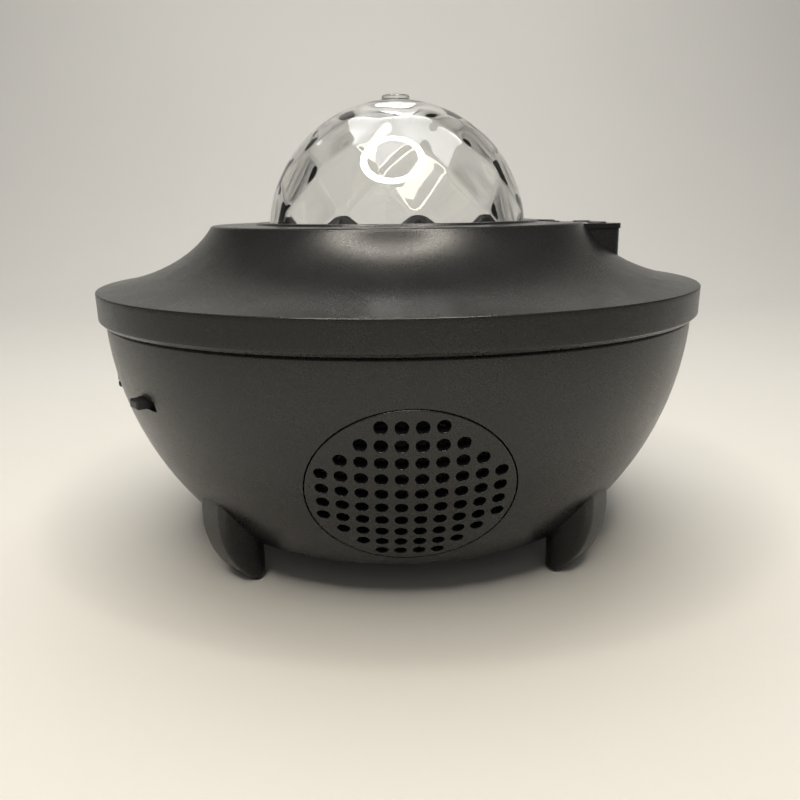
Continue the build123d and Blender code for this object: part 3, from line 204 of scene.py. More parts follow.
class PortSizes(bpy.types.PropertyGroup):
    """Places of the openings at the bowl's left."""
    azimuth: turn("Port azimuth", -82.9, "Direction that the sockets look in")
    usb_offset: length("USB offset", 12.5, "USB socket beside that direction")
    usb_height: length("USB height", 54.4, "Centre of the USB socket above the ground")
    usb_wide: length("USB width", 13.7, "Width of the USB opening")
    usb_tall: length("USB opening height", 6.2, "Height of the USB opening")
    jack_offset: length("Power offset", -13.0, "Power socket beside that direction")
    jack_height: length("Power height", 56.05, "Centre of the power socket above the ground")
    jack_radius: length("Power hole", 4.25, "Radius of the hole round the power socket")
    lamp_height: length("Lamp height", 49.2, "Centre of the indicator lamp above the ground")
    lamp_radius: length("Lamp hole", 1.25, "Radius of the indicator's hole")
    switch_azimuth: turn("Switch azimuth", -51.3, "Direction that the slide switch looks in")
    switch_height: length("Switch height", 49.9, "Centre of the switch slot above the ground")
    slot_wide: length("Slot width", 9.0, "Width of the switch slot")
    slot_tall: length("Slot height", 2.8, "Height of the switch slot")
    slot_corner: length("Slot corner", 0.4, "Corner radius of slot and USB opening")


class PadSizes(bpy.types.PropertyGroup):
    """Sizes of the control pad."""
    centre: length("Centre", 51.6, "Centre of the pad along X")
    width: length("Width", 19.6, "Control plate along X")
    depth: length("Depth", 32.6, "Control plate along Y")
    corner: length("Corner", 2.8, "Corner radius of the control plate")
    overhang: length("Overhang", 0.4, "Plate beyond the wall under it")
    fit: length("Fit", 0.15, "Gap round the plate in its pocket")
    plate_bottom: length("Plate bottom", 88.6, "Underside of the control plate")
    roof: length("Roof", 1.8, "Thickness of the roof under the plate")
    window: length("Window hole", 3.7, "Radius of the hole under the star window")
    wall: length("Wall", 1.8, "Thickness of the control box's walls")
    depth_below: length("Box depth", 4.0, "How far those walls reach below the crease")
    edge_break: length("Edge break", 0.15, "Broken edge at the top of those walls")
    tuck: length("Tuck", 0.4, "Cover's cut edge inside those walls")


class Finishes(bpy.types.PropertyGroup):
    """Colours of the visible materials."""
    housing: colour("Housing", "#0B0B0C", "Spark-eroded black ABS of cover and bowl")
    housing_grain: colour("Housing grain", "#171717", "Lighter grain of that ABS")
    clear: colour("Dome", "#FCFCFB", "Clear polycarbonate")
    floor: colour("Floor", "#B6B4AF", "Pale paper of floor and backdrop")


class StageSettings(bpy.types.PropertyGroup):
    """Camera, lamps and floor."""
    camera_distance: length("Camera distance", 238.36, "Camera in front of the projector's axis")
    camera_height: length("Camera height", 95.81, "Camera above the ground")
    camera_pitch: turn("Camera pitch", 13.75, "Camera looks down by this angle")
    camera_roll: turn("Camera roll", -0.706, "Camera turned about its own axis")
    camera_yaw: turn("Camera yaw", -0.052, "Camera turned about the upright axis")
    camera_orbit: turn("Camera orbit", -1.9, "Camera carried round the projector")
    lens: amount("Lens", 36.07, "Focal length in millimetres")
    key_power: amount("Key lamp", 26.5, "Brightness of the ring lamp overhead")
    fill_power: amount("Fill lamp", 0.8, "Power of the lamp in front in watts")
    back_power: amount("Back lamp", 14.0, "Power of the backdrop's lamp in watts")
    room_level: amount("Room light", 0.20, "Brightness of the surrounding room")
    seen_level: amount("Room through plastic", 0.58, "Brightness of the room as clear plastic shows it")


# ---------------------------------------------------------------- mesh tools
def grid_faces(rows, columns, closed_rows=False, closed_columns=False):
    """Quads of a grid of points: each point with its next neighbours along row and column."""
    down = np.arange(rows if closed_rows else rows - 1)
    across = np.arange(columns if closed_columns else columns - 1)
    row, column = np.meshgrid(down, across, indexing="ij")
    here = row * columns
    below = (row + 1) % rows * columns
    beside = (column + 1) % columns
    return np.stack((here + column, here + beside, below + beside, below + column), axis=-1).reshape(-1, 4)


def circle(count):
    """Unit circle: cosine and sine of even angles."""
    angles = np.linspace(0, 2 * pi, count, endpoint=False)
    return np.column_stack((np.cos(angles), np.sin(angles)))


def rounded(corners, steps):
    """Outline through corners (across, up, rounding): an arc tangent to both sides at each rounded corner,
    as a blend of its first and last point by the sines of the angles to them."""
    outline = []
    for before, corner, after in zip(corners[-1:] + corners[:-1], corners, corners[1:] + corners[:1]):
        point = np.array(corner[:2])
        if corner[2] <= 0:
            outline.append(point[None])
            continue
        back = np.array(before[:2]) - point
        ahead = np.array(after[:2]) - point
        back /= np.hypot(*back)
        ahead /= np.hypot(*ahead)
        half = 0.5 * np.arccos(np.clip(back @ ahead, -1, 1))
        middle = point + (back + ahead) / np.hypot(*(back + ahead)) * corner[2] / sin(half)
        first = point + back * corner[2] / np.tan(half) - middle
        last = point + ahead * corner[2] / np.tan(half) - middle
        share = np.linspace(0, 1, steps + 1)[:, None]
        swing = pi - 2 * half
        bend = (np.sin((1 - share) * swing) * first + np.sin(share * swing) * last) / sin(swing)
        outline.append(middle + bend)
    return np.concatenate(outline)


def bezier(points, steps):
    """Cubic curve through the Bernstein sum of four control points."""
    share = np.linspace(0, 1, steps + 1)[:, None]
    rest = 1 - share
    start, first, second, end = (np.array(point) for point in points)
    return (rest ** 3 * start + 3 * rest ** 2 * share * first
            + 3 * rest * share ** 2 * second + share ** 3 * end)


def dense(outline, spacing):
    """The same line with its own points and more at an even spacing, by interpolation along its length."""
    steps = np.hypot(*np.diff(outline, axis=0).T)
    along = np.concatenate(([0], np.cumsum(steps)))
    even = np.union1d(np.linspace(0, along[-1], int(along[-1] / spacing) + 1), along)
    return np.column_stack([np.interp(even, along, outline[:, axis]) for axis in (0, 1)])


def polar(radius, height, azimuth):
    """Points from radius, height and azimuth: radius times sine and minus cosine, then the height."""
    radius, height, azimuth = np.broadcast_arrays(radius, height, azimuth)
    return np.stack((radius * np.sin(azimuth), -radius * np.cos(azimuth), height), axis=-1)


def turned(outline, segments):
    """Closed outline (radius, height) turned about Z: every point at each of the even azimuths."""
    azimuth = np.linspace(0, 2 * pi, segments, endpoint=False)
    points = polar(outline[:, :1], outline[:, 1:], azimuth[None])
    return points.reshape(-1, 3), grid_faces(len(outline), segments, closed_rows=True, closed_columns=True)


def moved(part, matrix):
    """Mesh part with a 4 x 4 matrix applied to its points."""
    points, faces = part
    matrix = np.array(matrix)
    return points @ matrix[:3, :3].T + matrix[:3, 3], faces


def free_edges(faces):
    """Edges that only one quad uses, in that quad's direction."""
    edges = np.concatenate([faces[:, [side, (side + 1) % 4]] for side in range(4)])
    _, first, uses = np.unique(np.sort(edges, axis=1), axis=0, return_index=True, return_counts=True)
    free = edges[first[uses == 1]]
    return free[free[:, 0] != free[:, 1]]


def thick(outside, inside, faces):
    """Closed skin: outer points, inner points on the same faces turned round, and walls along free edges."""
    count = len(outside)
    start, end = free_edges(faces).T
    walls = np.column_stack((end, start, start + count, end + count))
    return np.concatenate((outside, inside)), np.concatenate((faces, faces[:, ::-1] + count, walls))


def windowed(azimuths, rows, windows):
    """Grid of (azimuth, row) places with windows: round each hole, the grid's cells inside a rectangle
    are replaced by rings of points that blend in even steps from the rectangle to the hole's outline.
    windows holds (first column, last column, first row, last row, outline function, rings)."""
    columns = len(azimuths)
    column, row = np.meshgrid(np.arange(columns), np.arange(len(rows)))
    places = np.column_stack((azimuths[column.ravel()], rows[row.ravel()]))
    faces = grid_faces(len(rows), columns, closed_columns=True)
    face_row, face_column = np.divmod(np.arange(len(faces)), columns)
    keep = np.ones(len(faces), bool)
    extra_places = []
    extra_faces = []
    count = len(places)
    for left, right, top, bottom, outline, rings in windows:
        keep &= ~((face_column >= left) & (face_column < right) & (face_row >= top) & (face_row < bottom))
        across = np.arange(left, right)
        down = np.arange(top, bottom)
        loop = np.concatenate((top * columns + across, down * columns + right,
                               bottom * columns + across[::-1] + 1, (down[::-1] + 1) * columns + left))
        sides = [(side, np.linspace(0, 1, steps, endpoint=False))
                 for side, steps in enumerate((right - left, bottom - top, right - left, bottom - top))]
        hole = np.concatenate([outline(side, share) for side, share in sides])
        blend = np.linspace(0, 1, rings + 1)[1:, None, None]
        ring = places[loop] * (1 - blend) + hole * blend
        extra_places.append(ring.reshape(-1, 2))
        order = np.concatenate((loop[None], count + np.arange(rings * len(loop)).reshape(rings, -1)))
        cells = grid_faces(rings + 1, len(loop), closed_columns=True)
        extra_faces.append(order.ravel()[cells][:, ::-1])
        count += rings * len(loop)
    places = np.concatenate([places] + extra_places)
    faces = np.concatenate([faces[keep]] + extra_faces)
    used, faces = np.unique(faces, return_inverse=True)
    return places[used], faces.reshape(-1, 4)


def box_outline(half_wide, half_tall, corner):
    """Quarter outlines of a rounded rectangle, as a function of side and share of that side: half a corner's
    arc, the straight stretch and half the next arc, by their lengths. Side 0 runs along the top from left to
    right, and the others follow clockwise."""
    def outline(side, share):
        straight, reach = ((half_wide, half_tall) if side % 2 == 0 else (half_tall, half_wide))
        straight = straight - corner
        quarter = corner * pi / 4
        along = share * (2 * quarter + 2 * straight)
        early = np.clip(along, 0, quarter) / max(corner, WELD)
        late = np.clip(along - quarter - 2 * straight, 0, quarter) / max(corner, WELD)
        angle = -pi / 4 + early + late
        across = np.clip(along - quarter, 0, 2 * straight) - straight + corner * np.sin(angle)
        up = reach - corner + corner * np.cos(angle)
        cosine, sine = cos(side * pi / 2), sin(side * pi / 2)
        return np.column_stack((across * cosine + up * sine, up * cosine - across * sine))
    return outline


def round_outline(radius):
    """Quarter outlines of a circle: a rounded square that has no straight left."""
    return box_outline(radius, radius, radius)


def closed_loop(outline, steps):
    """All four quarters of a box outline, joined to one closed loop."""
    share = np.linspace(0, 1, steps, endpoint=False)
    return np.concatenate([outline(side, share) for side in range(4)])


def level(outline, height):
    """Flat outline (across, along) as points at one height."""
    return np.column_stack((outline, np.full(len(outline), height)))


def nearest(values, target):
    """Index of the entry closest to a target."""
    return int(np.argmin(np.abs(values - target)))


def mesh_object(name, points, faces, material):
    """Smooth object from points and quads, in its place, with the object itself at the origin."""
    mesh = bpy.data.meshes.new(name)
    mesh.from_pydata(points.tolist(), [], faces.tolist())
    mesh.shade_smooth()
    mesh.materials.append(material)
    item = bpy.data.objects.new(name, mesh)
    bpy.context.scene.collection.objects.link(item)
    return item


def make_piece(name, parts, material, node):
    """Piece of the housing from mesh parts (points, faces): doubles merged, faces outwards, smooth up to the
    crease angle, in one of the frame's slots and in place of one CAD node."""
    starts = np.cumsum([0] + [len(points) for points, _ in parts])
    piece = mesh_object(name, np.concatenate([points for points, _ in parts]),
                        np.concatenate([faces + start for (_, faces), start in zip(parts, starts)]),
                        bpy.data.materials[material])
    work = bmesh.new()
    work.from_mesh(piece.data)
    bmesh.ops.remove_doubles(work, verts=work.verts, dist=MERGE)
    bmesh.ops.dissolve_degenerate(work, edges=work.edges, dist=WELD)
    bmesh.ops.recalc_face_normals(work, faces=work.faces)
    work.to_mesh(piece.data)
    work.free()
    piece.data.shade_smooth()
    piece.data.set_sharp_from_angle(angle=CREASE)
    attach(piece, "housing")
    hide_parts(node)
    return piece


def soften(piece, width):
    """Bevel of one width on a piece's hard edges."""
    bevel = piece.modifiers.new("Softened edges", "BEVEL")
    bevel.width = width
    bevel.segments = 2
    bevel.limit_method = "ANGLE"
    bevel.angle_limit = radians(40)


# ---------------------------------------------------------------- material tools
def add_node(tree, kind, settings=None, values=None, links=None):
    """Add a node, with its settings, the values of its free inputs and the links that feed it."""
    node = tree.nodes.new(kind)
    for name, value in (settings or {}).items():
        setattr(node, name, value)
    for name, value in (values or {}).items():
        node.inputs[name].default_value = value
    for name, source in (links or {}).items():
        tree.links.new(source, node.inputs[name])
    return node


def start_material(name, **sockets):
    """New material with its Principled shader, and that shader's fixed sockets set."""
    material = bpy.data.materials.new(name)
    material.use_nodes = True
    tree = material.node_tree
    shader = tree.nodes["Principled BSDF"]
    for socket, value in sockets.items():
        shader.inputs[socket.replace("_", " ")].default_value = value
    return material, tree, shader


def grain(tree, size, detail=2.0, stretch=(1.0, 1.0, 1.0)):
    """Cloudy pattern whose blotches are about one size across, in metres, on the object's own coordinates."""
    place = add_node(tree, "ShaderNodeTexCoord")
    scaled = add_node(tree, "ShaderNodeMapping", values={"Scale": [1 / (size * share) for share in stretch]},
                      links={"Vector": place.outputs["Object"]})
    return add_node(tree, "ShaderNodeTexNoise", values={"Scale": 1.0, "Detail": detail, "Roughness": 0.55},
                    links={"Vector": scaled.outputs["Vector"]}).outputs["Fac"]


def two_tones(tree, shader, pattern, first, second, edges=(0.3, 0.7)):
    """Base colour that goes from one colour to another as a pattern passes between two edges, between which
    most of a cloudy pattern lies. Returns the share of the second colour."""
    share = add_node(tree, "ShaderNodeMapRange", values={"From Min": edges[0], "From Max": edges[1]},
                     links={"Value": pattern}).outputs["Result"]
    mix = add_node(tree, "ShaderNodeMix", settings={"data_type": "RGBA"},
                   values={"A": (*first, 1.0), "B": (*second, 1.0)}, links={"Factor": share})
    tree.links.new(mix.outputs["Result"], shader.inputs["Base Color"])
    return share


def relief(tree, shader, share, roughness, height, depth):
    """Roughness between two values by a share, and a bump of a real depth in metres by a height pattern."""
    rough = add_node(tree, "ShaderNodeMapRange", values={"To Min": roughness[0], "To Max": roughness[1]},
                     links={"Value": share})
    bump = add_node(tree, "ShaderNodeBump", values={"Strength": 1.0, "Distance": depth},
                    links={"Height": height})
    tree.links.new(rough.outputs["Result"], shader.inputs["Roughness"])
    tree.links.new(bump.outputs["Normal"], shader.inputs["Normal"])


def plain_finish(name, first, second, size, roughness, depth, ior=1.5):
    """Plastic, paint, paper or rubber: two close colours in blotches of one size in millimetres, which carry
    the roughness and a bump of a depth in millimetres too."""
    _, tree, shader = start_material(name, IOR=ior)
    share = two_tones(tree, shader, grain(tree, size * MM), linear(first), linear(second))
    relief(tree, shader, share, roughness, share, depth * MM)


def metal_finish(name, code, roughness, stretch):
    """Drawn, turned or plated metal: fine lines along one direction, as brightness, roughness and relief.
    The real lines are under 0.1 mm apart; they are drawn 0.25 mm apart so that they show."""
    _, tree, shader = start_material(name, Metallic=1.0)
    lines = grain(tree, 0.25 * MM, detail=3.0, stretch=stretch)
    share = two_tones(tree, shader, lines, [0.8 * value for value in linear(code)], linear(code))
    relief(tree, shader, share, roughness, lines, 0.01 * MM)


def spark_eroded_abs(finishes):
    """ABS moulded in a spark-eroded tool: near-black, matt, with a broad soft sheen full of tiny glints.
    The real craters are about 0.05 mm; they are drawn 0.3 mm across so that the glints show."""
    _, tree, shader = start_material("spark_eroded_abs", IOR=1.52)
    crater = grain(tree, 0.32 * MM)
    cloud = grain(tree, 9 * MM, detail=3.0)
    two_tones(tree, shader, crater, finishes.housing, finishes.housing_grain, edges=(0.42, 0.72))
    clouded = add_node(tree, "ShaderNodeMapRange", links={"Value": cloud}, values={
        "From Min": 0.3, "From Max": 0.7, "To Min": 0.27, "To Max": 0.32})
    sparkle = add_node(tree, "ShaderNodeMapRange", links={"Value": crater}, values={
        "From Min": 0.35, "From Max": 0.7, "To Min": 0.05, "To Max": -0.06})
    total = add_node(tree, "ShaderNodeMath", settings={"operation": "ADD"},
                     links={0: clouded.outputs["Result"], 1: sparkle.outputs["Result"]})
    bump = add_node(tree, "ShaderNodeBump", values={"Strength": 1.0, "Distance": 0.02 * MM},
                    links={"Height": crater})
    tree.links.new(total.outputs["Value"], shader.inputs["Roughness"])
    tree.links.new(bump.outputs["Normal"], shader.inputs["Normal"])


def clear_moulding(name, tint, ior):
    """Clear moulded plastic: glass-smooth, with a very faint long-wave unevenness from the melt's flow."""
    _, tree, shader = start_material(name, IOR=ior, Transmission_Weight=1.0, Roughness=0.015,
                                     Base_Color=(*tint, 1.0))
    bump = add_node(tree, "ShaderNodeBump", values={"Strength": 1.0, "Distance": 0.02 * MM},
                    links={"Height": grain(tree, 14 * MM, detail=1.0)})
    tree.links.new(bump.outputs["Normal"], shader.inputs["Normal"])


# Name, two colours, blotch in mm, least and most roughness, bump in mm and, where it isn't 1.5, IOR
PLAIN_FINISHES = (
    # ABS from a polished tool: a clear reflection with faint moulding waves
    ("polished_abs", "#0E0E0F", "#131314", 6.0, (0.10, 0.16), 0.002, 1.52),
    # ABS of the keys: a soft satin
    ("satin_abs", "#1E1E1F", "#262627", 0.4, (0.38, 0.46), 0.004, 1.52),
    # compression-moulded rubber: matt, slightly dusty
    ("moulded_rubber", "#161616", "#222221", 0.6, (0.62, 0.75), 0.01),
    # nylon and ABS inside parts straight from the tool: half matt black
    ("moulded_black_plastic", "#121212", "#1A1A1B", 0.5, (0.42, 0.52), 0.006),
    # acetal of the gears: waxy white, semi-gloss
    ("natural_acetal", "#E6E2D6", "#DEDACC", 2.0, (0.32, 0.40), 0.003, 1.48),
    # printed solder masks: a glossy coat over a faint weave
    ("white_solder_mask", "#E9E8E1", "#DFDDD3", 1.2, (0.30, 0.40), 0.004),
    ("green_solder_mask", "#0F4A2A", "#15603A", 1.4, (0.28, 0.40), 0.01),
    # phosphor in clear silicone: pale yellow, slightly grainy under a gloss
    ("lamp_phosphor", "#E8DE9A", "#DFD284", 0.5, (0.25, 0.35), 0.004),
    # open-cell foam: dead matt with deep pores
    ("sealing_foam", "#141414", "#242424", 0.5, (0.85, 0.95), 0.08),
    # polycarbonate smoked so dark that it looks black and glossy
    ("smoked_plastic", "#131213", "#1A1919", 0.6, (0.10, 0.14), 0.002),
    # pressed paper of a loudspeaker cone, treated black: fibrous and matt
    ("pressed_paper", "#161615", "#22211F", 0.7, (0.65, 0.80), 0.05),
    # stoved enamel on the pressed frame: orange-peel gloss
    ("black_enamel", "#161616", "#1D1D1D", 0.8, (0.30, 0.42), 0.01),
    # sintered ferrite: charcoal, dry and chalky
    ("ferrite", "#2A2A2C", "#39393B", 0.5, (0.55, 0.7), 0.02),
)
# Name, colour, least and most roughness, and stretch along X, Y and Z of each metal's lines
METAL_FINISHES = (
    # bright zinc on screws: bluish grey, evenly mottled
    ("zinc_plated_steel", "#B9BABD", (0.28, 0.42), (1, 1, 1)),
    # deep-drawn steel cans: long lines round the can
    ("drawn_steel", "#A8A9AB", (0.25, 0.38), (8, 8, 1)),
    # extruded aluminium: straight die lines
    ("extruded_aluminium", "#C9CBCE", (0.30, 0.45), (1, 1, 10)),
    # turned brass: warm yellow with fine tool marks
    ("turned_brass", "#C79A4B", (0.22, 0.34), (8, 8, 1)),
    # spun aluminium cans: pale, with short lines
    ("spun_aluminium", "#D2D3D6", (0.22, 0.34), (4, 4, 1)),
)


# ---------------------------------------------------------------- shapes shared by several pieces
def bowl_curve(sizes):
    """Radius and centre height of the bowl's curve, from its lip and the offset of its centre."""
    radius = hypot(sizes.lip_radius + sizes.centre_offset, sizes.centre_rise)
    return radius, sizes.lip_height + sizes.centre_rise


def onto_bowl(sizes, origins, direction, inset=0.0):
    """Points where rays meet the bowl's curve, by Newton steps on the distance from the curve's circle:
    the square root of (radius + offset) squared plus (height - centre) squared, less the curve's radius."""
    curve, centre = bowl_curve(sizes)
    reach = np.full(len(origins), curve)
    step = 1e-6
    for _ in range(12):
        def miss(along):
            points = origins + along[:, None] * direction
            radial = np.hypot(points[:, 0], points[:, 1]) + sizes.centre_offset
            return np.hypot(radial, points[:, 2] - centre) - (curve - inset)
        value = miss(reach)
        reach = reach - value * step / (miss(reach + step) - value)
    return origins + reach[:, None] * direction


def speaker_axes(bowl, speaker):
    """Origin, sideways, upward and outward directions of the speaker."""
    origin = np.array((0.0, 0.0, bowl_curve(bowl)[1]))
    outward = np.array((0.0, -cos(speaker.tilt), -sin(speaker.tilt)))
    return origin, np.array((1.0, 0.0, 0.0)), np.array((0.0, -sin(speaker.tilt), cos(speaker.tilt))), outward


def port_axes(azimuth, height):
    """Origin, sideways, upward and outward directions of a port that looks out at an azimuth."""
    sideways = np.array((cos(azimuth), sin(azimuth), 0.0))
    outward = np.array((sin(azimuth), -cos(azimuth), 0.0))
    return np.array((0.0, 0.0, height)), sideways, np.array((0.0, 0.0, 1.0)), outward


def speaker_ring(bowl, speaker, count, loops):
    """Closed ring about the speaker's axis through four circles: each a radius and how deep it lies in the
    bowl's wall, or None where it lies on the speaker's seat."""
    origin, sideways, upward, outward = speaker_axes(bowl, speaker)
    around = circle(count)
    rings = []
    for radius, depth in loops:
        starts = origin + radius * (around[:, :1] * sideways + around[:, 1:] * upward)
        if depth is None:
            rings.append(starts + speaker.seat * outward)
        else:
            rings.append(onto_bowl(bowl, starts, outward, depth))
    return np.concatenate(rings), grid_faces(len(loops), count, closed_rows=True, closed_columns=True)


def opening(bowl, outer, axes, shift, outline):
    """Outline function of an opening in the bowl, in (azimuth, row) places: the flat outline, shifted
    sideways, is carried along the port's direction onto the bowl."""
    origin, sideways, upward, outward = axes

    def placed(side, share):
        flat = outline(side, share)
        starts = origin + (flat[:, :1] + shift) * sideways + flat[:, 1:] * upward
        points = onto_bowl(bowl, starts, outward)
        rows = np.interp(-points[:, 2], -outer[:, 1], np.arange(len(outer)))
        return np.column_stack((np.arctan2(points[:, 0], -points[:, 1]), rows))
    return placed


def turned_skin(outer, inner, azimuths, rows, windows):
    """Thick skin between two profiles turned about Z, on a grid of azimuths and rows with windows."""
    places, faces = windowed(azimuths, rows, windows)
    count = np.arange(len(outer))
    sides = [polar(*(np.interp(places[:, 1], count, side[:, axis]) for axis in (0, 1)), places[:, 0])
             for side in (outer, inner)]
    return thick(*sides, faces)


def pad_outline(pad, growth):
    """Quarter outlines of the control plate, grown by a margin, about the pad's centre."""
    return box_outline(pad.width / 2 + growth, pad.depth / 2 + growth, pad.corner + growth)


def look(place, target):
    """Turn that points an object's -Z from one place to another, with its X level."""
    back = np.array(place) - np.array(target)
    back = back / np.linalg.norm(back)
    side = np.cross((0.0, 0.0, 1.0), back)
    side = side / np.linalg.norm(side)
    up = np.cross(back, side)
    return Matrix(np.column_stack((side, up, back)).tolist()).to_4x4()


# ---------------------------------------------------------------- operators
class PROJECTOR_OT_cover(bpy.types.Operator):
    """Flared cover: a thick turned skin with a window for the control box, and that box"""
    bl_idname = "projector.cover"
    bl_label = "Flared cover"

    def execute(self, context):
        scene = context.scene
        cover, pad = scene.projector_cover, scene.projector_pad
        outer = self.outer_profile(cover)
        slope = np.gradient(outer, axis=0)
        slope /= np.hypot(slope[:, 0], slope[:, 1])[:, None]
        inner = outer + cover.wall * np.column_stack((slope[:, 1], -slope[:, 0]))
        inner[:, 0] = np.clip(inner[:, 0], cover.dome_hole, cover.rim_radius - cover.seat_wall)
        inner[:, 1] = np.clip(inner[:, 1], outer[-1, 1], cover.top_height - cover.wall)

        azimuths = np.linspace(-pi, pi, COLUMNS, endpoint=False)
        rows = self.chosen_rows(outer)
        radii = outer[rows.astype(int), 0]
        pad_reach = pad.centre + pad.width / 2
        # the window's rectangle in the grid stands a little outside the pocket
        half_turn = np.arctan2(pad.depth / 2 + 3 * MM, pad.centre - pad.width / 2) + radians(1)
        left, right = (nearest(azimuths, pi / 2 + side * half_turn) for side in (-1, 1))
        top = nearest(radii, pad.centre - pad.width / 2 - MM)
        bottom = nearest(radii, hypot(pad_reach, pad.depth / 2) + 2 * MM)
        pocket = self.pocket(outer[:np.argmax(outer[:, 0])], pad)
        skin = turned_skin(outer, inner, azimuths, rows, [(left, right, top, bottom, pocket, 10)])
        parts = [skin, self.control_box(cover, pad)]
        make_piece("cover_shell", parts, "spark_eroded_abs", "top_cover")
        return {"FINISHED"}

    def outer_profile(self, cover):
        """Profile from the dome's hole outwards: bead, flat top, rounded corner, the flare as a cubic curve,
        crease, upright band, chamfer and underside."""
        bead_edge = cover.dome_hole + cover.bead_width
        high = cover.top_height + cover.bead_height
        run = cover.rim_radius - cover.top_radius
        drop = cover.top_height - cover.crease_height
        edge = (cover.top_radius, cover.top_height)
        crease = (cover.rim_radius, cover.crease_height)
        pulls = [(edge[0] + out * run, edge[1] - down * drop) for out, down in FLARE]
        flare = bezier((edge, *pulls, crease), 160)
        lead = flare[12]
        corner = rounded([(edge[0] - 3 * MM, edge[1], 0.0), (*edge, cover.top_corner), (*lead, 0.0)], 8)[1:-1]
        beyond = flare[flare[:, 0] > corner[-1, 0] + 0.05 * MM]
        foot = cover.rim_radius - cover.band_draft
        low = cover.band_foot - cover.chamfer
        band = rounded([(*beyond[-6], 0.0), (*crease, cover.crease_round),
                        (foot, cover.band_foot, cover.band_round),
                        (foot - cover.chamfer, low, cover.chamfer_round),
                        (cover.rim_radius - cover.seat_wall, low, 0.0)], 6)[1:]
        bead = rounded([(cover.dome_hole, cover.top_height, 0.0), (cover.dome_hole, high, cover.bead_lip),
                        (bead_edge - cover.bead_slope, high, cover.bead_round),
                        (bead_edge, cover.top_height, cover.bead_toe),
                        (bead_edge + 3 * MM, cover.top_height, 0.0)], 6)[1:-1]
        return dense(np.concatenate((bead, corner, beyond[:-6], band)), 0.1 * MM)

    def chosen_rows(self, outer):
        """Rows of the skin: the next one comes when the way along the profile, in steps of its greatest
        length, and its turning, in steps of its greatest angle, add up to one more."""
        longest, sharpest = 1.2 * MM, radians(4)
        slope = np.unwrap(np.arctan2(*np.gradient(outer, axis=0).T[::-1]))
        length_along = np.concatenate(([0], np.cumsum(np.hypot(*np.diff(outer, axis=0).T))))
        turning = np.concatenate(([0], np.cumsum(np.abs(np.diff(slope)))))
        effort = length_along / longest + turning / sharpest
        wanted = np.arange(0, effort[-1])
        return np.unique(np.concatenate((np.searchsorted(effort, wanted), [len(outer) - 1]))).astype(float)

    def pocket(self, top, pad):
        """Outline of the pad's hole in the cover: the plate's pocket in the flat top, and just inside the
        control box's wall where the flare has dropped below the plate."""
        wide = pad_outline(pad, pad.fit)
        tight = pad_outline(pad, -pad.overhang - pad.tuck)

        def placed(side, share):
            turned_side = (side + 3) % 4
            far = wide(turned_side, share)
            near = tight(turned_side, share)
            radius = np.hypot(far[:, 0] + pad.centre, far[:, 1])
            height = np.interp(radius, top[:, 0], top[:, 1])
            flat = np.where((height > pad.plate_bottom)[:, None], far, near)
            across, along = flat[:, 0] + pad.centre, flat[:, 1]
            rows = np.interp(np.hypot(across, along), top[:, 0], np.arange(len(top)))
            return np.column_stack((np.arctan2(across, -along), rows))
        return placed

    def control_box(self, cover, pad):
        """Upright walls with the plate's outline, and a roof with the star window's hole."""
        low = cover.crease_height - pad.depth_below
        top = pad.plate_bottom
        ceiling = top - pad.roof
        outer = closed_loop(pad_outline(pad, -pad.overhang), 24)
        inner = closed_loop(pad_outline(pad, -pad.overhang - pad.wall), 24)
        hole = closed_loop(round_outline(pad.window), 24)
        loops = ((outer, low), (outer, top - pad.edge_break), (outer * 0.99, top), (hole, top),
                 (hole, ceiling), (inner, ceiling), (inner, low))
        points = np.concatenate([level(loop + (pad.centre, 0.0), height) for loop, height in loops])
        return points, grid_faces(len(loops), len(outer), closed_rows=True, closed_columns=True)


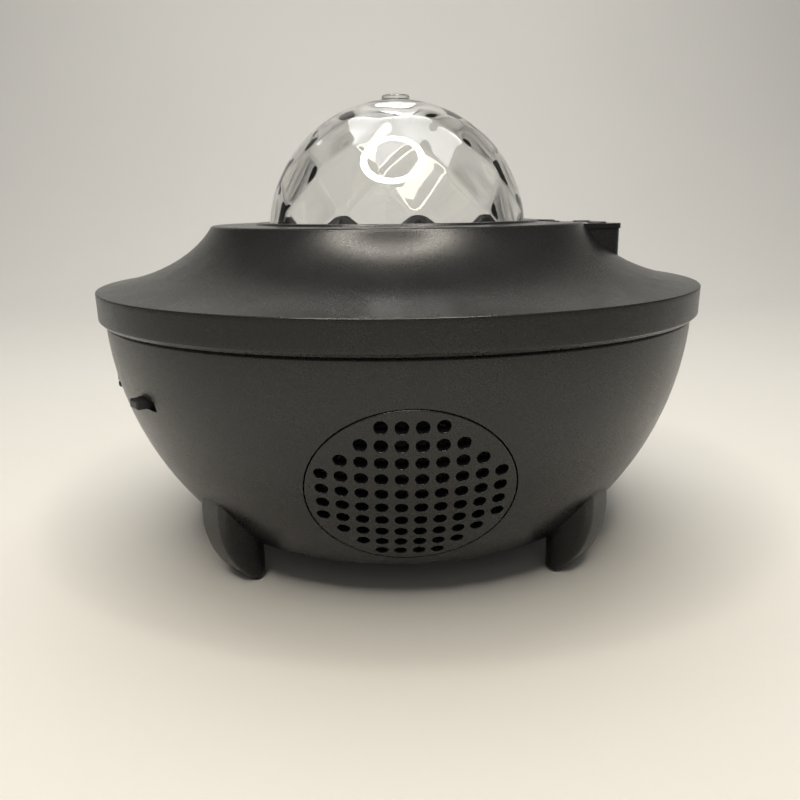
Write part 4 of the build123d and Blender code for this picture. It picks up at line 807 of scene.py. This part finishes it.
class PROJECTOR_OT_bowl(bpy.types.Operator):
    """Bowl: a thick turned skin with windows for grille, sockets, lamp and switch, and four legs"""
    bl_idname = "projector.bowl"
    bl_label = "Bowl and legs"

    def execute(self, context):
        scene = context.scene
        bowl, cover = scene.projector_bowl, scene.projector_cover
        outer, inner, marks = self.profiles(bowl, cover)
        azimuths = np.linspace(-pi, pi, COLUMNS, endpoint=False)
        rows = marks.astype(float)
        holes = self.windows(scene, outer, azimuths, rows) + self.bores(bowl, outer, azimuths, rows)
        skin = turned_skin(outer, inner, azimuths, rows, holes)
        parts = [skin, self.rib(bowl, cover), self.speaker_seat(scene)] + self.towers(bowl, cover)
        leg = self.leg(bowl, cover)
        parts += [moved(leg, Matrix.Rotation(azimuth - pi / 2, 4, "Z"))
                  for azimuth in (-bowl.leg_turn, bowl.leg_turn, pi - bowl.leg_turn, pi + bowl.leg_turn)]
        make_piece("bowl_shell", parts, "spark_eroded_abs", "lower_shell")
        return {"FINISHED"}

    def profiles(self, bowl, cover):
        """Outer and inner profiles with matching points, from the joint groove to the middle of the base,
        and the points that the skin's rows run through. The side is a circular arc: its radius times the
        cosine, less the centre's offset, and the centre's height less its radius times the sine."""
        curve, centre = bowl_curve(bowl)
        start = asin(bowl.centre_rise / curve)
        end = asin((centre - bowl.clearance) / curve)
        sweep = np.linspace(start, end, 900)
        side = np.column_stack((curve * np.cos(sweep) - bowl.centre_offset, centre - curve * np.sin(sweep)))
        joint = (bowl.lip_radius - bowl.groove_depth, bowl.lip_height + bowl.groove_height)
        lip = rounded([(*joint, 0.0), (*side[0], bowl.lip_round), (*side[20], 0.0)], 4)[:-1]
        foot = rounded([(*side[-60], 0.0), (*side[-1], bowl.base_round), (0.0, bowl.clearance, 0.0)], 8)[1:-1]
        body = side[(side[:, 1] < lip[-1, 1]) & (side[:, 0] > foot[0, 0])]
        base = np.column_stack((np.linspace(foot[-1, 0], 0, 60)[1:], np.full(59, bowl.clearance)))
        outer = np.concatenate((lip, body, foot, base))
        inner_radius = curve - cover.wall
        angle = np.arctan2(centre - outer[:, 1], outer[:, 0] + bowl.centre_offset)
        inner = np.column_stack((inner_radius * np.cos(angle) - bowl.centre_offset,
                                 centre - inner_radius * np.sin(angle)))
        in_base = np.arange(len(outer)) >= len(outer) - len(base) - len(foot)
        under = outer[in_base, 0]
        inner[in_base, 0] = np.minimum(inner[in_base, 0], under * (1 - cover.wall / under.max()))
        inner[:, 1] = np.where(in_base, bowl.clearance + cover.wall, inner[:, 1])
        inner[:len(lip), 1] = outer[:len(lip), 1]
        inner[:len(lip), 0] = bowl.lip_radius - cover.wall
        first = len(lip)
        last = first + len(body)
        side_rows = np.linspace(first, last - 1, 46).round()
        foot_rows = np.arange(last, last + len(foot))
        base_rows = np.linspace(last + len(foot), len(outer) - 1, 12).round()
        marks = np.unique(np.concatenate((np.arange(first), side_rows, foot_rows, base_rows)))
        return outer, inner, marks

    def windows(self, scene, outer, azimuths, rows):
        """Windows of the speaker, both sockets, the indicator lamp and the switch slot."""
        bowl, speaker, port = scene.projector_bowl, scene.projector_speaker, scene.projector_ports
        heights = outer[rows.astype(int), 1]
        grille = round_outline(speaker.grille_radius + speaker.gap)
        usb = box_outline(port.usb_wide / 2, port.usb_tall / 2, port.slot_corner)
        jack = round_outline(port.jack_radius)
        lamp = round_outline(port.lamp_radius)
        slot = box_outline(port.slot_wide / 2, port.slot_tall / 2, port.slot_corner)
        near, far = 0.6 * MM, 2.2 * MM
        # axes, sideways shift, outline, margin to the window's edge in the grid, and rings of points
        cuts = ((speaker_axes(bowl, speaker), 0.0, grille, 0.0, 8),
                (port_axes(port.azimuth, port.usb_height), port.usb_offset, usb, far, 3),
                (port_axes(port.azimuth, port.jack_height), port.jack_offset, jack, far, 3),
                (port_axes(port.azimuth, port.lamp_height), port.usb_offset, lamp, near, 2),
                (port_axes(port.switch_azimuth, port.switch_height), 0.0, slot, far, 3))
        found = []
        for axes, shift, outline, margin, rings in cuts:
            placed = opening(bowl, outer, axes, shift, outline)
            edge = np.concatenate([placed(side, np.linspace(0, 1, 30)) for side in range(4)])
            edge_height = np.interp(edge[:, 1], np.arange(len(outer)), outer[:, 1])
            turn_margin = max(margin, 1.2 * MM) / bowl.lip_radius
            left = int(np.searchsorted(azimuths, edge[:, 0].min() - turn_margin)) - 1
            right = int(np.searchsorted(azimuths, edge[:, 0].max() + turn_margin))
            top = int(np.searchsorted(-heights, -(edge_height.max() + margin))) - 1
            bottom = int(np.searchsorted(-heights, -(edge_height.min() - margin)))
            found.append((left, right, top, bottom, placed, rings))
        return found

    def rib(self, bowl, cover):
        """Locating rib inside the cover's rim, as a turned ring."""
        outer = cover.rim_radius - cover.seat_wall - cover.rib_gap
        inner = outer - bowl.rib_width
        joint = bowl.lip_height + bowl.groove_height
        low, high = joint - bowl.rib_below, joint + bowl.rib_above
        return turned(rounded([(inner, low, 0.0), (outer, low, 0.0), (outer, high, 0.4 * MM),
                               (inner, high, 0.4 * MM)], 3), 180)

    def speaker_seat(self, scene):
        """Ring inside the bowl that the speaker's flange is screwed to, about the speaker's axis."""
        bowl, speaker = scene.projector_bowl, scene.projector_speaker
        inner = speaker.grille_radius + speaker.gap
        outer, root = speaker.seat_radius, speaker.seat_root
        return speaker_ring(bowl, speaker, 128, ((inner, root), (outer, root), (outer, None), (inner, None)))

    def bores(self, bowl, outer, azimuths, rows):
        """Windows of the four screw bores in the flat underside: circles, in (azimuth, row) places."""
        radii = outer[rows.astype(int), 0]
        bore = round_outline(bowl.tower_bore)
        found = []
        for quarter in range(4):
            middle = pi / 4 + quarter * pi / 2 - pi

            def placed(side, share, middle=middle):
                flat = bore(side, share)
                far = bowl.tower_circle + flat[:, 1]
                along = np.interp(-np.hypot(flat[:, 0], far), -outer[:, 0], np.arange(len(outer)))
                return np.column_stack((middle + np.arctan2(flat[:, 0], far), along))
            reach = bowl.tower_bore + MM
            sweep = asin(reach / bowl.tower_circle)
            left, right = (nearest(azimuths, middle + side * sweep) for side in (-1, 1))
            top = nearest(radii, bowl.tower_circle + reach)
            bottom = nearest(radii, bowl.tower_circle - reach)
            found.append((left, right, top, bottom, placed, 2))
        return found

    def towers(self, bowl, cover):
        """Screw towers: tubes from the underside's wall up to a solid end with the screw's hole."""
        low = bowl.clearance + cover.wall / 2
        top = bowl.tower_top
        web = top - bowl.tower_web
        bore, wall, hole = bowl.tower_bore, bowl.tower_radius, bowl.screw_hole
        outline = np.array(((bore, low), (wall, low), (wall, top), (hole, top), (hole, web), (bore, web)))
        tower = moved(turned(outline, 48), Matrix.Translation((bowl.tower_circle, 0, 0)))
        return [moved(tower, Matrix.Rotation(pi / 4 + quarter * pi / 2, 4, "Z")) for quarter in range(4)]

    def leg(self, bowl, cover):
        """Leg along +X: at each height a rounded outline, whose back follows a circular arc in side view.
        Above the underside, points inside the bowl are drawn back into its wall."""
        back = self.leg_back(bowl)
        # the sole's edge is about a quarter round: rise and shrink as shares of its rounding
        rise = bowl.leg_bottom + bowl.leg_sole * np.array([0, 0.08, 0.3, 0.6, 1.0])
        upper = np.linspace(bowl.leg_bottom + 0.9 * MM, bowl.leg_height + bowl.leg_buried, 44)
        heights = np.concatenate((rise, upper))
        shrink = bowl.leg_sole * np.concatenate(([1.0, 0.6, 0.28, 0.08, 0.0], np.zeros(len(upper))))
        loops = []
        for height, margin in zip(heights, shrink):
            reach = np.interp(height, back[:, 1], back[:, 0]) - margin
            near = bowl.leg_inner + margin
            side = bowl.leg_width / 2 - margin
            outline = rounded([(near, side, bowl.leg_nose), (near, -side, bowl.leg_nose),
                               (reach, -side, bowl.leg_round), (reach, side, bowl.leg_round)], 10)
            loops.append(level(outline, height))
        points = np.stack(loops)
        curve, centre = bowl_curve(bowl)
        radius = np.hypot(points[..., 0], points[..., 1])
        start = bowl.clearance + 0.5 * MM
        depth = np.clip((points[..., 2] - start) / (0.5 * MM), 0, 1)
        drop = np.maximum((curve - cover.wall / 2) ** 2 - (centre - points[..., 2]) ** 2, 0)
        wall_radius = np.sqrt(drop) - bowl.centre_offset
        pushed = np.where(radius < wall_radius, radius + (wall_radius - radius) * depth, radius)
        points[..., :2] *= (pushed / radius)[..., None]
        middle = np.full((1, points.shape[1], 3), ((bowl.leg_inner + bowl.leg_toe) / 2, 0.0, bowl.leg_bottom))
        points = np.concatenate((middle, points))
        return points.reshape(-1, 3), grid_faces(len(points), points.shape[1], closed_columns=True)

    def leg_back(self, bowl):
        """Back of a leg in side view, as (radius, height): the arc through toe, belly and top."""
        curve, centre = bowl_curve(bowl)
        edge = sqrt(curve ** 2 - (centre - bowl.leg_height) ** 2) - bowl.centre_offset + bowl.leg_proud
        toe = np.array((bowl.leg_toe, bowl.leg_bottom))
        belly = np.array((bowl.belly_reach, bowl.belly_height))
        top = np.array((edge, bowl.leg_height))
        system = 2 * np.array((belly - toe, top - toe))
        middle = np.linalg.solve(system, np.array((belly @ belly - toe @ toe, top @ top - toe @ toe)))
        radius = np.hypot(*(toe - middle))
        heights = np.linspace(toe[1], top[1] + bowl.leg_buried, 60)
        return np.column_stack((middle[0] + np.sqrt(radius ** 2 - (heights - middle[1]) ** 2), heights))


class PROJECTOR_OT_grille(bpy.types.Operator):
    """Speaker grille: square cells with round holes, carried along the speaker's axis onto the bowl"""
    bl_idname = "projector.grille"
    bl_label = "Speaker grille"

    def execute(self, context):
        scene = context.scene
        bowl, speaker, cover = scene.projector_bowl, scene.projector_speaker, scene.projector_cover
        flat, faces = self.flat_pattern(speaker)
        origin, sideways, upward, outward = speaker_axes(bowl, speaker)
        starts = origin + flat[:, :1] * sideways + flat[:, 1:] * upward
        outside = onto_bowl(bowl, starts, outward)
        inside = onto_bowl(bowl, starts, outward, cover.wall)
        outer, root = speaker.grille_radius, 0.9 * cover.wall
        inner = outer - speaker.rim
        rim = speaker_ring(bowl, speaker, 160, ((outer, root), (outer, None), (inner, None), (inner, root)))
        piece = make_piece("speaker_grille_plate", [thick(outside, inside, faces), rim], "spark_eroded_abs",
                           "speaker_grille")
        soften(piece, speaker.edge_round)
        return {"FINISHED"}

    def flat_pattern(self, speaker):
        """Flat plate with rows of holes on a square grid: in each cell rings run from the hole's circle to
        the cell's square, and outside the cells to the plate's circle."""
        pitch = speaker.pitch
        middle_row = (len(GRILLE_ROWS) - 1) / 2
        centres = np.array([((place - (count - 1) / 2) * pitch, (middle_row - row) * pitch)
                            for row, count in enumerate(GRILLE_ROWS) for place in range(count)])
        square = closed_loop(box_outline(pitch / 2, pitch / 2, 0.0), 6)
        hole = closed_loop(round_outline(speaker.hole_radius), 6)
        blend = np.array([0.0, 0.25, 1.0])[:, None, None]
        cell = (hole * (1 - blend) + square * blend).reshape(-1, 2)
        cell_faces = grid_faces(3, len(square), closed_columns=True)
        points = (centres[:, None] + cell[None]).reshape(-1, 2)
        faces = (np.arange(len(centres))[:, None, None] * len(cell) + cell_faces[None]).reshape(-1, 4)
        keys = np.round(points / (0.01 * MM)).astype(int)
        _, first, back = np.unique(keys, axis=0, return_index=True, return_inverse=True)
        points, faces = points[first], back.ravel()[faces]
        loop = self.boundary(points, faces, pitch)
        angles = np.arctan2(points[loop, 1], points[loop, 0])
        edge = speaker.grille_radius * np.column_stack((np.cos(angles), np.sin(angles)))
        radius = np.hypot(points[:, 0], points[:, 1])
        drawn_in = np.where(radius > speaker.even_radius, (radius + speaker.even_radius) / 2, radius)
        points = points * (drawn_in / radius)[:, None]
        middle = (points[loop] + edge) / 2
        order = np.concatenate((loop, len(points) + np.arange(2 * len(loop)))).reshape(3, -1)
        ring_faces = order.ravel()[grid_faces(3, len(loop), closed_columns=True)]
        return np.concatenate((points, middle, edge)), np.concatenate((faces, ring_faces))

    def boundary(self, points, faces, pitch):
        """Outer boundary of the cells, as point numbers in order round the middle: the points on free edges
        that lie on the grid's lines, where no point of a hole lies."""
        free = np.unique(free_edges(faces))
        off_line = np.abs((points[free] / pitch + 0.5) % 1 - 0.5).min(axis=1)
        outer = free[off_line < 1e-3]
        angles = np.round(np.arctan2(points[outer, 1], points[outer, 0]), 6)
        return outer[np.lexsort((np.hypot(*points[outer].T), angles))]


class PROJECTOR_OT_dome(bpy.types.Operator):
    """Clear dome: smooth and round outside with its gate stub and flange, flat facets inside"""
    bl_idname = "projector.dome"
    bl_label = "Clear dome"

    def execute(self, context):
        scene = context.scene
        dome, cover = scene.projector_dome, scene.projector_cover
        centre = cover.top_height - dome.sink
        flange_top = cover.top_height - cover.wall
        foot = flange_top - dome.flange_thickness
        azimuth = np.linspace(0, 2 * pi, dome.sides * FACET_COLUMNS, endpoint=False)
        outside = self.outside(dome, centre, flange_top, foot)
        points = np.concatenate((polar(outside[:, :1], outside[:, 1:], azimuth[None]),
                                 self.inside(dome, centre, foot, azimuth)))
        skin = points.reshape(-1, 3), grid_faces(len(points), len(azimuth), closed_columns=True)
        make_piece("faceted_dome", [skin], "clear_polycarbonate", "crystal_dome")
        return {"FINISHED"}

    def outside(self, dome, centre, flange_top, foot):
        """Profile from the top of the gate's stub down the sphere, as radius times cosine and sine of the
        elevation, to the foot of the flange."""
        start = dome.shoulder
        lift = np.linspace(start, asin((flange_top - centre) / dome.radius), 56)[1:]
        sphere = np.column_stack((dome.radius * np.cos(lift), centre + dome.radius * np.sin(lift)))
        shoulder = (dome.radius * cos(start), centre + dome.radius * sin(start))
        root = (dome.gate_radius, centre + sqrt(dome.radius ** 2 - dome.gate_radius ** 2))
        top = centre + dome.radius + dome.gate_height
        stub = rounded([(0.0, top, 0.0), (dome.gate_radius, top, dome.gate_round), (*root, dome.gate_root),
                        (*shoulder, 0.0)], 5)
        edge = dome.radius + dome.flange
        inner = dome.radius - dome.foot_wall
        soft = dome.flange_round
        rim = rounded([(*sphere[-1], 0.0), (edge, flange_top, soft), (edge, foot, soft),
                       (inner + soft, foot, 0.0)], 3)[1:]
        return np.concatenate((stub, sphere, rim))

    def inside(self, dome, centre, foot, azimuth):
        """Room inside, as a distance along each direction u from the sphere's centre:
        r(u) = (sum of max(n.u / d, 0)^p over the planes, plus (|u across| / foot radius)^p)^(-1/p),
        with p so high that only a thin seam between two planes is rounded."""
        normals, distances = self.planes(dome, foot - centre)
        room = dome.radius - dome.foot_wall
        lift = np.linspace(-atan((centre - foot) / room), pi / 2, 150)
        ray = polar(np.cos(lift)[:, None], np.sin(lift)[:, None], azimuth[None])
        shares = np.concatenate((np.maximum(ray @ (normals / distances[:, None]).T, 0),
                                 np.hypot(ray[..., :1], ray[..., 1:2]) / room), axis=-1)
        most = shares.max(axis=-1, keepdims=True)
        total = np.sum((shares / most) ** dome.sharpness, axis=-1, keepdims=True) ** (1 / dome.sharpness)
        points = ray / (most * total)
        points[..., 2] += centre
        points[0, :, 2] = foot
        return points

    def planes(self, dome, foot):
        """Unit normals and distances of the facets' planes, about the sphere's centre. The corners stand in
        rings, every other one turned by half a step, and each plane runs through three of them. Under the
        lowest ring the facets run on down to the foot."""
        step = 2 * pi / dome.sides
        count = np.arange(dome.sides)
        rings = []
        for row, elevation in enumerate(FACET_RINGS):
            reach = dome.radius - (dome.wall if row else dome.low_wall)
            azimuth = dome.twist + step * (count - 0.5 * (row % 2))
            rings.append(polar(reach * cos(elevation), reach * sin(elevation), azimuth))
        flat = cos(step / 2)
        near, far = (np.hypot(*ring[0, :2]) for ring in rings[:2])
        lean = (far - near * flat) / (rings[1][0, 2] - rings[0][0, 2])
        base = polar(near + lean * (foot - rings[0][0, 2]) / flat, foot, dome.twist + step * count)
        triangles = [(base, np.roll(base, -1, axis=0), rings[0])]
        for row, (lower, upper) in enumerate(zip(rings, rings[1:])):
            after = np.roll(lower, -1, axis=0)
            above = upper if row % 2 else np.roll(upper, -1, axis=0)
            triangles += [(lower, after, above), (above, after, np.roll(above, -1, axis=0))]
        triangles.append(tuple(rings[-1][[0, dome.sides // 3, 2 * dome.sides // 3]][:, None]))
        first, second, third = (np.concatenate(corners) for corners in zip(*triangles))
        normals = np.cross(second - first, third - first)
        normals /= np.linalg.norm(normals, axis=1, keepdims=True)
        distances = np.sum(normals * first, axis=1)
        return normals * np.sign(distances)[:, None], np.abs(distances)


class PROJECTOR_OT_materials(bpy.types.Operator):
    """Materials of every piece, each named for what the real one is made of"""
    bl_idname = "projector.materials"
    bl_label = "Materials"

    def execute(self, context):
        finishes = context.scene.projector_finishes
        spark_eroded_abs(finishes)
        # polycarbonate bends light strongly, so the dome's facets show bright and dark edges
        clear_moulding("clear_polycarbonate", finishes.clear, 1.585)
        # acrylic bends it less: the lenses, the wave disc and the star window look calmer and a little cool
        clear_moulding("clear_acrylic", linear("#F2F6F8"), 1.49)
        for row in PLAIN_FINISHES:
            plain_finish(*row)
        for row in METAL_FINISHES:
            metal_finish(*row)
        return {"FINISHED"}


# CAD pieces that each finish goes on
INNER_FINISHES = {
    "zinc_plated_steel": ("housing_screws", "deck_screws", "lamp_plate_screws", "lamp_screws", "motor_screws",
                          "button_board_screws", "star_bracket_screws", "speaker_screws", "main_board_screws",
                          "switch_screws"),
    "moulded_black_plastic": ("optics_deck", "lamp_plate", "lens_holder", "star_bracket", "tact_switches",
                              "board_chips", "power_socket", "slide_switch"),
    "clear_acrylic": ("wave_disc", "condenser_lens", "laser_lens", "star_window", "grating_wheel"),
    "satin_abs": ("power_button", "light_button", "star_button", "sound_button", "switch_knob"),
    "drawn_steel": ("wave_motor", "star_motor", "usb_socket"),
    "natural_acetal": ("ring_gear", "motor_pinion"),
    "green_solder_mask": ("button_board", "main_board"),
    "moulded_rubber": ("speaker_surround", "rubber_feet"),
    "extruded_aluminium": ("heat_sink",),
    "spun_aluminium": ("board_capacitors",),
    "white_solder_mask": ("led_board",),
    "lamp_phosphor": ("led_emitters",),
    "turned_brass": ("laser_barrel",),
    "polished_abs": ("control_plate",),
    "sealing_foam": ("speaker_gasket",),
    "black_enamel": ("speaker_frame",),
    "ferrite": ("speaker_magnet",),
    "pressed_paper": ("speaker_cone",),
    "smoked_plastic": ("indicator_lamp",),
}


class PROJECTOR_OT_inner_finish(bpy.types.Operator):
    """Materials for the CAD pieces whose shape is right"""
    bl_idname = "projector.inner_finish"
    bl_label = "Finish of the CAD pieces"

    def execute(self, context):
        for finish, nodes in INNER_FINISHES.items():
            for node in nodes:
                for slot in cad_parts[node].material_slots:
                    slot.material = bpy.data.materials[finish]
        return {"FINISHED"}


class PROJECTOR_OT_stage(bpy.types.Operator):
    """Pale floor and backdrop in one sweep, soft lamps, room light and the camera"""
    bl_idname = "projector.stage"
    bl_label = "Stage"

    def execute(self, context):
        scene = context.scene
        stage, finishes = scene.projector_stage, scene.projector_finishes
        self.sweep(finishes)
        self.lamps(stage)
        self.room(scene, stage)
        self.camera(scene, stage)
        scene.view_settings.view_transform = "Standard"
        return {"FINISHED"}

    def sweep(self, finishes):
        """Floor that rises into the backdrop along a quarter circle: its centre plus its radius times the
        cosine and sine of even angles. Matt paper off a roll gives an even pale ground with no highlight."""
        material, tree, shader = start_material("studio_paper", Roughness=0.85)
        two_tones(tree, shader, grain(tree, 0.35), finishes.floor, [0.97 * value for value in finishes.floor])
        front, bend_start, bend, top, half_width = -0.75, 0.5, 0.6, (1.1, 2.0), 2.6
        angles = np.linspace(-pi / 2, 0, 41)
        curve = np.column_stack((bend_start + bend * np.cos(angles), bend + bend * np.sin(angles)))
        outline = np.concatenate(([[front, 0.0]], curve, [top]))
        across = np.linspace(-half_width, half_width, 3)
        points = np.stack([np.column_stack((np.full(len(outline), x), outline)) for x in across], axis=1)
        faces = grid_faces(len(outline), 3)[:, ::-1]
        floor = mesh_object("floor_sweep", points.reshape(-1, 3), faces, material)

    def lamps(self, stage):
        """Ring lamp overhead and a little in front, and two discs that only light: one over the backdrop and
        one from the front. The ring is a lit diffuser of opal plastic: even, slightly warm white."""
        # name, place, target, diameter and power
        places = (("fill_lamp", (0.0, -0.9, 0.5), (0.0, -0.1, 0.0), 0.7, stage.fill_power),
                  ("backdrop_lamp", (0.0, 0.45, 1.1), (0.0, 0.7, 0.0), 1.2, stage.back_power))
        for name, place, target, size, power in places:
            data = bpy.data.lights.new(name, "AREA")
            data.shape = "DISK"
            data.size = size
            data.energy = power
            lamp = bpy.data.objects.new(name, data)
            lamp.visible_glossy = False
            lamp.matrix_world = Matrix.Translation(place) @ look(place, target)
            bpy.context.scene.collection.objects.link(lamp)
        inner, outer, place, target = 0.165, 0.215, (-0.03, -0.22, 0.55), (0.0, 0.0, 0.09)
        around = np.column_stack((circle(96), np.zeros(96)))
        flat = np.concatenate((inner * around, outer * around)), grid_faces(2, 96, closed_columns=True)
        points, faces = moved(flat, Matrix.Translation(place) @ look(place, target))
        diffuser, _, _ = start_material("lit_opal_diffuser", Emission_Color=KEY_LIGHT,
                                        Emission_Strength=stage.key_power)
        ring = mesh_object("ring_lamp", points, faces, diffuser)

    def room(self, scene, stage):
        """Even room light, which clear plastic shows as bright as the backdrop."""
        scene.world = bpy.data.worlds.new("room")
        scene.world.use_nodes = True
        tree = scene.world.node_tree
        background = tree.nodes["Background"]
        background.inputs["Color"].default_value = ROOM_LIGHT
        path = add_node(tree, "ShaderNodeLightPath")
        strength = add_node(tree, "ShaderNodeMapRange", links={"Value": path.outputs["Is Transmission Ray"]},
                            values={"To Min": stage.room_level, "To Max": stage.seen_level})
        tree.links.new(strength.outputs["Result"], background.inputs["Strength"])

    def camera(self, scene, stage):
        """Camera in front of the projector, looking down a little, and carried round it by its orbit."""
        data = bpy.data.cameras.new("camera")
        data.lens = stage.lens
        data.sensor_width = 36.0
        data.clip_start = 0.01
        camera = bpy.data.objects.new("camera", data)
        camera.matrix_world = (Matrix.Rotation(stage.camera_orbit, 4, "Z")
                               @ Matrix.Translation((0.0, -stage.camera_distance, stage.camera_height))
                               @ Matrix.Rotation(stage.camera_yaw, 4, "Z")
                               @ Matrix.Rotation(pi / 2 - stage.camera_pitch, 4, "X")
                               @ Matrix.Rotation(stage.camera_roll, 4, "Z"))
        scene.collection.objects.link(camera)
        scene.camera = camera


class PROJECTOR_PT_panel(bpy.types.Panel):
    """Panel that lists the builder's steps and sizes"""
    bl_idname = "PROJECTOR_PT_panel"
    bl_label = "Star projector"
    bl_space_type = "VIEW_3D"
    bl_region_type = "UI"
    bl_category = "Projector"

    def draw(self, context):
        for step in STEPS:
            self.layout.operator(step.bl_idname)
        for name, kind in SETTINGS.items():
            group = getattr(context.scene, name)
            box = self.layout.box()
            for size in kind.__annotations__:
                box.prop(group, size)


SETTINGS = {
    "projector_cover": CoverSizes,
    "projector_bowl": BowlSizes,
    "projector_speaker": SpeakerSizes,
    "projector_dome": DomeSizes,
    "projector_ports": PortSizes,
    "projector_pad": PadSizes,
    "projector_finishes": Finishes,
    "projector_stage": StageSettings,
}
STEPS = (
    PROJECTOR_OT_materials,
    PROJECTOR_OT_stage,
    PROJECTOR_OT_cover,
    PROJECTOR_OT_bowl,
    PROJECTOR_OT_grille,
    PROJECTOR_OT_dome,
    PROJECTOR_OT_inner_finish,
)


def register():
    """Register every class, and hang the settings on the scene."""
    for kind in (*SETTINGS.values(), *STEPS, PROJECTOR_PT_panel):
        bpy.utils.register_class(kind)
    for name, kind in SETTINGS.items():
        setattr(bpy.types.Scene, name, PointerProperty(type=kind))


def unregister():
    """Take the settings off the scene, and unregister every class in the other order."""
    for name in SETTINGS:
        delattr(bpy.types.Scene, name)
    for kind in (PROJECTOR_PT_panel, *reversed(STEPS), *reversed(tuple(SETTINGS.values()))):
        bpy.utils.unregister_class(kind)


def main():
    """Build the whole projector."""
    register()
    bpy.ops.projector.materials()
    bpy.ops.projector.stage()
    bpy.ops.projector.cover()
    bpy.ops.projector.bowl()
    bpy.ops.projector.grille()
    bpy.ops.projector.dome()
    bpy.ops.projector.inner_finish()


if __name__ == "__main__":
    main()
